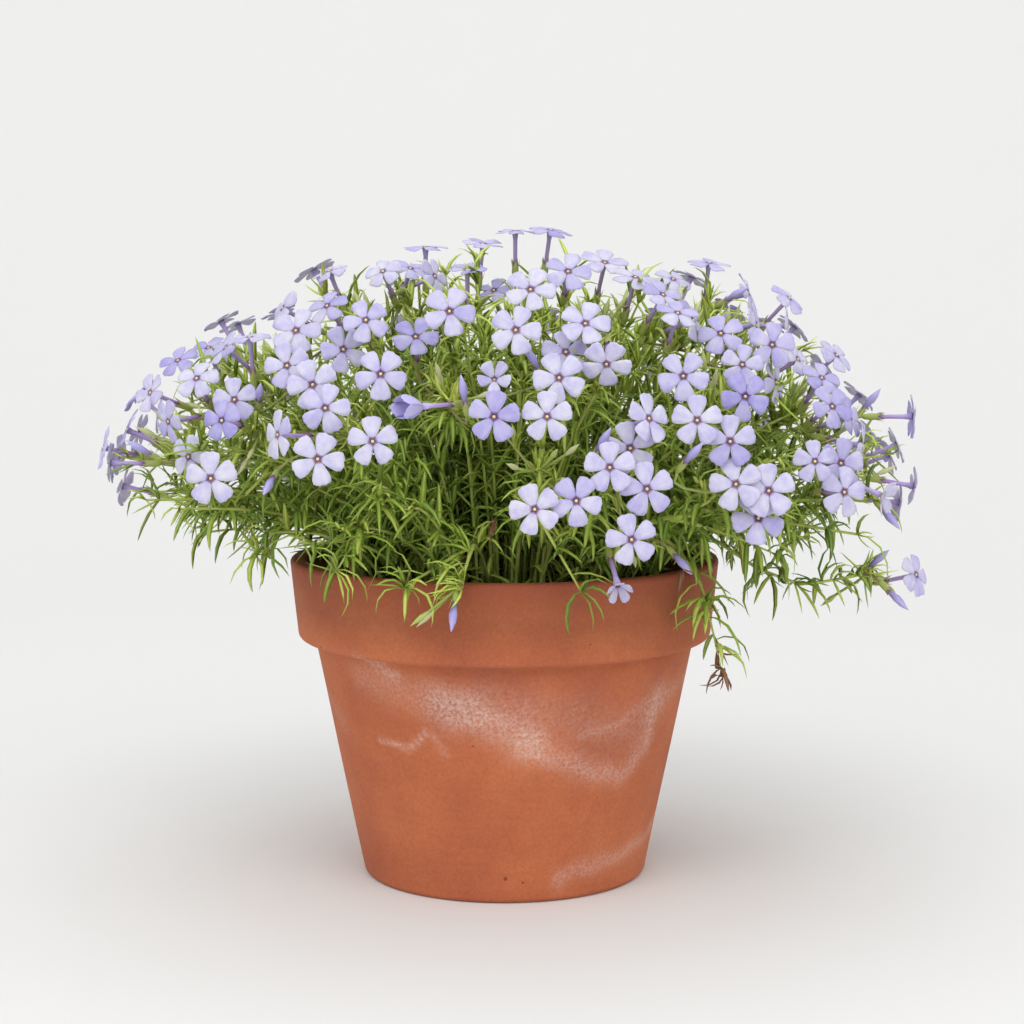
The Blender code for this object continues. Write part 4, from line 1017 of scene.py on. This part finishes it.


# Petal: pale lavender, whiter in some flowers and bluer in others and a little clouded
# with violet, with fine veins and a purple-brown ring round the eye. The flowers at the
# front are given the whiter tints and those behind the bluer ones, as painted light and
# shade.
petal_skin = new_material("phlox_petal", 0.62)
reach = add_node(petal_skin, "ShaderNodeAttribute", attribute_name="reach")
across = add_node(petal_skin, "ShaderNodeAttribute", attribute_name="across")
tint = add_node(petal_skin, "ShaderNodeAttribute", attribute_name="tint")
share = add_node(petal_skin, "ShaderNodeMath", {0: reach.outputs["Fac"], 1: PETAL_LENGTH},
                 operation="DIVIDE")
length_tones = add_node(petal_skin, "ShaderNodeValToRGB", {"Fac": share.outputs["Value"]},
                        [(0.09, hex_colour("#7D5A6E")), (1.0, hex_colour("#D0CCE8")),
                         (0.145, hex_colour("#957C9A")), (0.21, hex_colour("#CCC8E4")),
                         (0.45, hex_colour("#D6D3EA"))])
tint_and_painted_light_tones = add_node(petal_skin, "ShaderNodeValToRGB", {"Fac": tint.outputs["Fac"]},
                       [(0.0, hex_colour("#CDC9EE")), (1.0, hex_colour("#FFFFFF")),
                        (0.5, hex_colour("#EEECFA"))])
tinted = add_node(petal_skin, "ShaderNodeMix",
                  {0: 1.0, 6: length_tones.outputs["Color"], 7: tint_and_painted_light_tones.outputs["Color"]},
                  data_type="RGBA", blend_type="MULTIPLY")
vein_place = add_node(petal_skin, "ShaderNodeCombineXYZ",
                      {"X": across.outputs["Fac"], "Y": tint.outputs["Fac"]})
veins = add_node(petal_skin, "ShaderNodeTexNoise",
                 {"Vector": vein_place.outputs["Vector"], "Scale": 2.4, "Detail": 2.0})
vein_shade = add_node(petal_skin, "ShaderNodeMapRange",
                      {"Value": veins.outputs["Fac"], "From Min": 0.35, "From Max": 0.65,
                       "To Min": 0.95, "To Max": 1.02})
veined = add_node(petal_skin, "ShaderNodeMix",
                  {0: 1.0, 6: tinted.outputs[2], 7: vein_shade.outputs["Result"]},
                  data_type="RGBA", blend_type="MULTIPLY")
here = add_node(petal_skin, "ShaderNodeTexCoord").outputs["Object"]
clouds = add_node(petal_skin, "ShaderNodeTexNoise",
                  {"Vector": here, "Scale": 210.0, "Detail": 3.0, "Roughness": 0.6})
cloud_tones = add_node(petal_skin, "ShaderNodeValToRGB", {"Fac": clouds.outputs["Fac"]},
                       [(0.32, hex_colour("#E3E1F8")), (0.6, hex_colour("#FFFFFF"))])
clouded = add_node(petal_skin, "ShaderNodeMix",
                   {0: 1.0, 6: veined.outputs[2], 7: cloud_tones.outputs["Color"]},
                   data_type="RGBA", blend_type="MULTIPLY")
wire(petal_skin, clouded.outputs[2], "Base Color")
petal_shader = petal_skin.node_tree.nodes["Principled BSDF"]
petal_shader.inputs["Subsurface Weight"].default_value = 0.5
petal_shader.inputs["Subsurface Radius"].default_value = (1.0, 0.9, 1.0)
petal_shader.inputs["Subsurface Scale"].default_value = 0.0012
relief = add_node(petal_skin, "ShaderNodeBump",
                  {"Height": veins.outputs["Fac"], "Strength": 0.3, "Distance": 0.0003})
wire(petal_skin, relief.outputs["Normal"], "Normal")

# Bud: furled petals seen from outside, a deeper violet toward the point.
bud_skin = new_material("furled_petal", 0.6)
reach = add_node(bud_skin, "ShaderNodeAttribute", attribute_name="reach")
tones = add_node(bud_skin, "ShaderNodeValToRGB", {"Fac": reach.outputs["Fac"]},
                 [(0.15, hex_colour("#8E78AE")), (1.0, hex_colour("#BDB6E6")),
                  (0.5, hex_colour("#A79FDB"))])
wire(bud_skin, tones.outputs["Color"], "Base Color")

# Eye: cream anthers crowded in the mouth of the tube.
anther_cream = new_material("anther_cream", 0.6)
anther_cream.node_tree.nodes["Principled BSDF"].inputs["Base Color"].default_value = hex_colour(
    "#E4D49B")

# Tube: the petals' joined bases, violet and faintly darker toward the cup.
tube_violet = new_material("corolla_tube", 0.6)
reach = add_node(tube_violet, "ShaderNodeAttribute", attribute_name="reach")
tones = add_node(tube_violet, "ShaderNodeValToRGB", {"Fac": reach.outputs["Fac"]},
                 [(0.2, hex_colour("#A283BE")), (1.0, hex_colour("#C4B2EA"))])
wire(tube_violet, tones.outputs["Color"], "Base Color")

# Flower stalk: thin and downy, green flushed with purple brown.
stalk_skin = new_material("flower_stalk", 0.6)
tint = add_node(stalk_skin, "ShaderNodeAttribute", attribute_name="tint")
tones = add_node(stalk_skin, "ShaderNodeValToRGB", {"Fac": tint.outputs["Fac"]},
                 [(0.3, hex_colour("#9DAD52")), (0.95, hex_colour("#8B7B55"))])
wire(stalk_skin, tones.outputs["Color"], "Base Color")

# Cup: olive green, browner purple toward the points of its teeth.
cup_green = new_material("flower_cup", 0.6)
reach = add_node(cup_green, "ShaderNodeAttribute", attribute_name="reach")
tones = add_node(cup_green, "ShaderNodeValToRGB", {"Fac": reach.outputs["Fac"]},
                 [(0.0, hex_colour("#97AC4C")), (1.0, hex_colour("#8F7868")),
                  (0.6, hex_colour("#9DA35C"))])
wire(cup_green, tones.outputs["Color"], "Base Color")

# Young bud: cream green, paler in some buds than in others.
young_bud = new_material("young_bud", 0.6)
tint = add_node(young_bud, "ShaderNodeAttribute", attribute_name="tint")
tones = add_node(young_bud, "ShaderNodeValToRGB", {"Fac": tint.outputs["Fac"]},
                 [(0.0, hex_colour("#A9B45F")), (1.0, hex_colour("#CFCFA2"))])
wire(young_bud, tones.outputs["Color"], "Base Color")

finder = kdtree.KDTree(len(stem_ends))
for number, place in enumerate(stem_ends):
    finder.insert(place, number)
finder.balance()
for node in sorted(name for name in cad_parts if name.startswith("flower_spray")):
    number = node[-2:]
    body = merged(node)
    body.normal_update()
    heads = [read_flower(v) for v in body.verts if len(v.link_faces) == 20]
    heads += [read_bud(v) for v in body.verts if len(v.link_faces) == 3]
    body.free()
    waist = sum((head["base"] for head in heads), Vector()) / len(heads)
    joint = sum((co for co, _, _ in finder.find_n(waist, 4)), Vector()) / 4.0
    blooms = Growth()
    greens = Growth()
    for head in heads:
        # Painted light and shade: flowers in the front row draw paler tints than those behind; the
        # rest of the spread is at random.
        shade = clamp(draw.gauss(0.75 if head["centre"].y < FRONT_ROW else 0.55, 0.25))
        if head["arms"]:
            grow_flower(blooms, greens, head, shade)
        else:
            grow_bud(blooms, greens, head, shade)
        grow_stalk(greens, joint, head, draw.random())
    blooms.piece(f"blooms_{number}", [petal_skin, anther_cream, tube_violet, bud_skin], "petals",
                 [node])
    bracts = Growth()
    mean = (sum((head["foot"] for head in heads), Vector()) / len(heads) - joint).normalized()
    for _ in range(GREEN_BUDS):
        grow_green_bud(greens, joint, mean, heads)
    greens.piece(f"flower_stalks_{number}", [stalk_skin, cup_green, young_bud], "foliage", [node])
    grow_tuft(bracts, joint, mean, 12, (8.0, 16.0), 0.65, 0.8)
    grow_tuft(bracts, waist, mean, 6, (6.0, 12.0), 0.65, 0.9)
    for head in heads:
        grow_tuft(bracts, joint.lerp(head["foot"], 0.5), mean, 3, (8.0, 15.0), 0.6, 0.85)
    bracts.piece(f"bracts_{number}", [leaf_green], "foliage")


# The dried bits: leaves that have shrivelled brown on the hanging shoot's tip, where
# the stem section has kept them apart, and a few more caught in the mound.
DRIED = (((-3, -88, 142), 3), ((60, -84, 124), 3), ((-52, -80, 126), 2), ((77, -57, 83), 4))

# Dead leaf: rust to straw brown, dry and dull.
dead_leaf = new_material("dead_leaf", 0.8)
tint = add_node(dead_leaf, "ShaderNodeAttribute", attribute_name="tint")
tones = add_node(dead_leaf, "ShaderNodeValToRGB", {"Fac": tint.outputs["Fac"]},
                 [(0.0, hex_colour("#6B3F27")), (1.0, hex_colour("#C79C78"))])
wire(dead_leaf, tones.outputs["Color"], "Base Color")
for place, count in DRIED:
    for _ in range(count):
        start = Vector(place)
        out = Vector((draw.gauss(0, 1), draw.gauss(0, 1), draw.gauss(-0.6, 0.6))).normalized()
        tip = start + out * draw.uniform(4.0, 9.0)
        if open_way(start, tip):
            grow_leaf(litter, start, tip, 0.8, draw.uniform(-0.4, 0.4), 0.6 * draw.random(),
                      fine_leaf_stock)
litter.piece("dried_leaves", [dead_leaf], "foliage")


# The room: a plain pale sweep, floor and wall in one smooth curve all round, lit softly
# from above and a little from the left, as for a catalogue picture.
SWEEP_FLAT = 700.0
SWEEP_BEND = 1500.0
SWEEP_STEPS = 30
SWEEP_HEIGHT = 1000.0
bends = [0.37 * math.pi * k / SWEEP_STEPS for k in range(SWEEP_STEPS + 1)]
sweep = turn("pale_sweep", [(0.1, -0.05)]
             + [(SWEEP_FLAT + SWEEP_BEND * math.sin(a), SWEEP_BEND * (1.0 - math.cos(a)) - 0.05)
                for a in bends]
             + [(SWEEP_FLAT + SWEEP_BEND, SWEEP_HEIGHT), (SWEEP_FLAT + SWEEP_BEND, -40.0),
                (0.1, -40.0)], 96, 200.0)
bpy.ops.object.shade_smooth_by_angle(angle=math.radians(35))
paper = new_material("pale_paper", 0.9)
paper.node_tree.nodes["Principled BSDF"].inputs["Base Color"].default_value = (0.78, 0.78, 0.775, 1)
sweep.data.materials.append(paper)

camera = bpy.data.objects.new("camera", bpy.data.cameras.new("camera"))
bpy.context.scene.collection.objects.link(camera)
camera.location = (0.00277, -0.850, 0.2282)
camera.rotation_euler = (math.radians(90.0 - 6.24), 0.0, 0.0)
camera.data.sensor_width = 36.0
camera.data.lens = 80.33
camera.data.clip_start = 0.01
bpy.context.scene.camera = camera

world = bpy.data.worlds.new("white_room")
bpy.context.scene.world = world
world.use_nodes = True
world.node_tree.nodes["Background"].inputs["Color"].default_value = (1.0, 1.0, 1.0, 1.0)
world.node_tree.nodes["Background"].inputs["Strength"].default_value = 0.6


def add_softbox(name, place, size, power, aim=(0, 0, 0.12)):
    """A square soft light that looks at the plant, or at another place."""
    lamp = bpy.data.lights.new(name, "AREA")
    lamp.size = size
    lamp.energy = power
    made = bpy.data.objects.new(name, lamp)
    made.location = place
    made.rotation_euler = (Vector(aim) - Vector(place)).to_track_quat("-Z", "Y").to_euler()
    bpy.context.scene.collection.objects.link(made)


add_softbox("overhead", (0.0, 0.2, 2.2), 2.4, 7.5)
add_softbox("key_left", (-0.8, -1.6, 1.9), 1.8, 19.5)
add_softbox("fill_right", (0.9, -1.6, 1.8), 1.8, 14.2)
add_softbox("floor_front", (0.0, -0.9, 1.1), 0.5, 1.0, (0.0, -0.35, 0.0))
add_softbox("backdrop", (0.0, 0.7, 2.0), 1.5, 6.5, (0.0, 1.9, 0.57))
bpy.context.scene.view_settings.view_transform = "Standard"

bpy.context.view_layer.update()
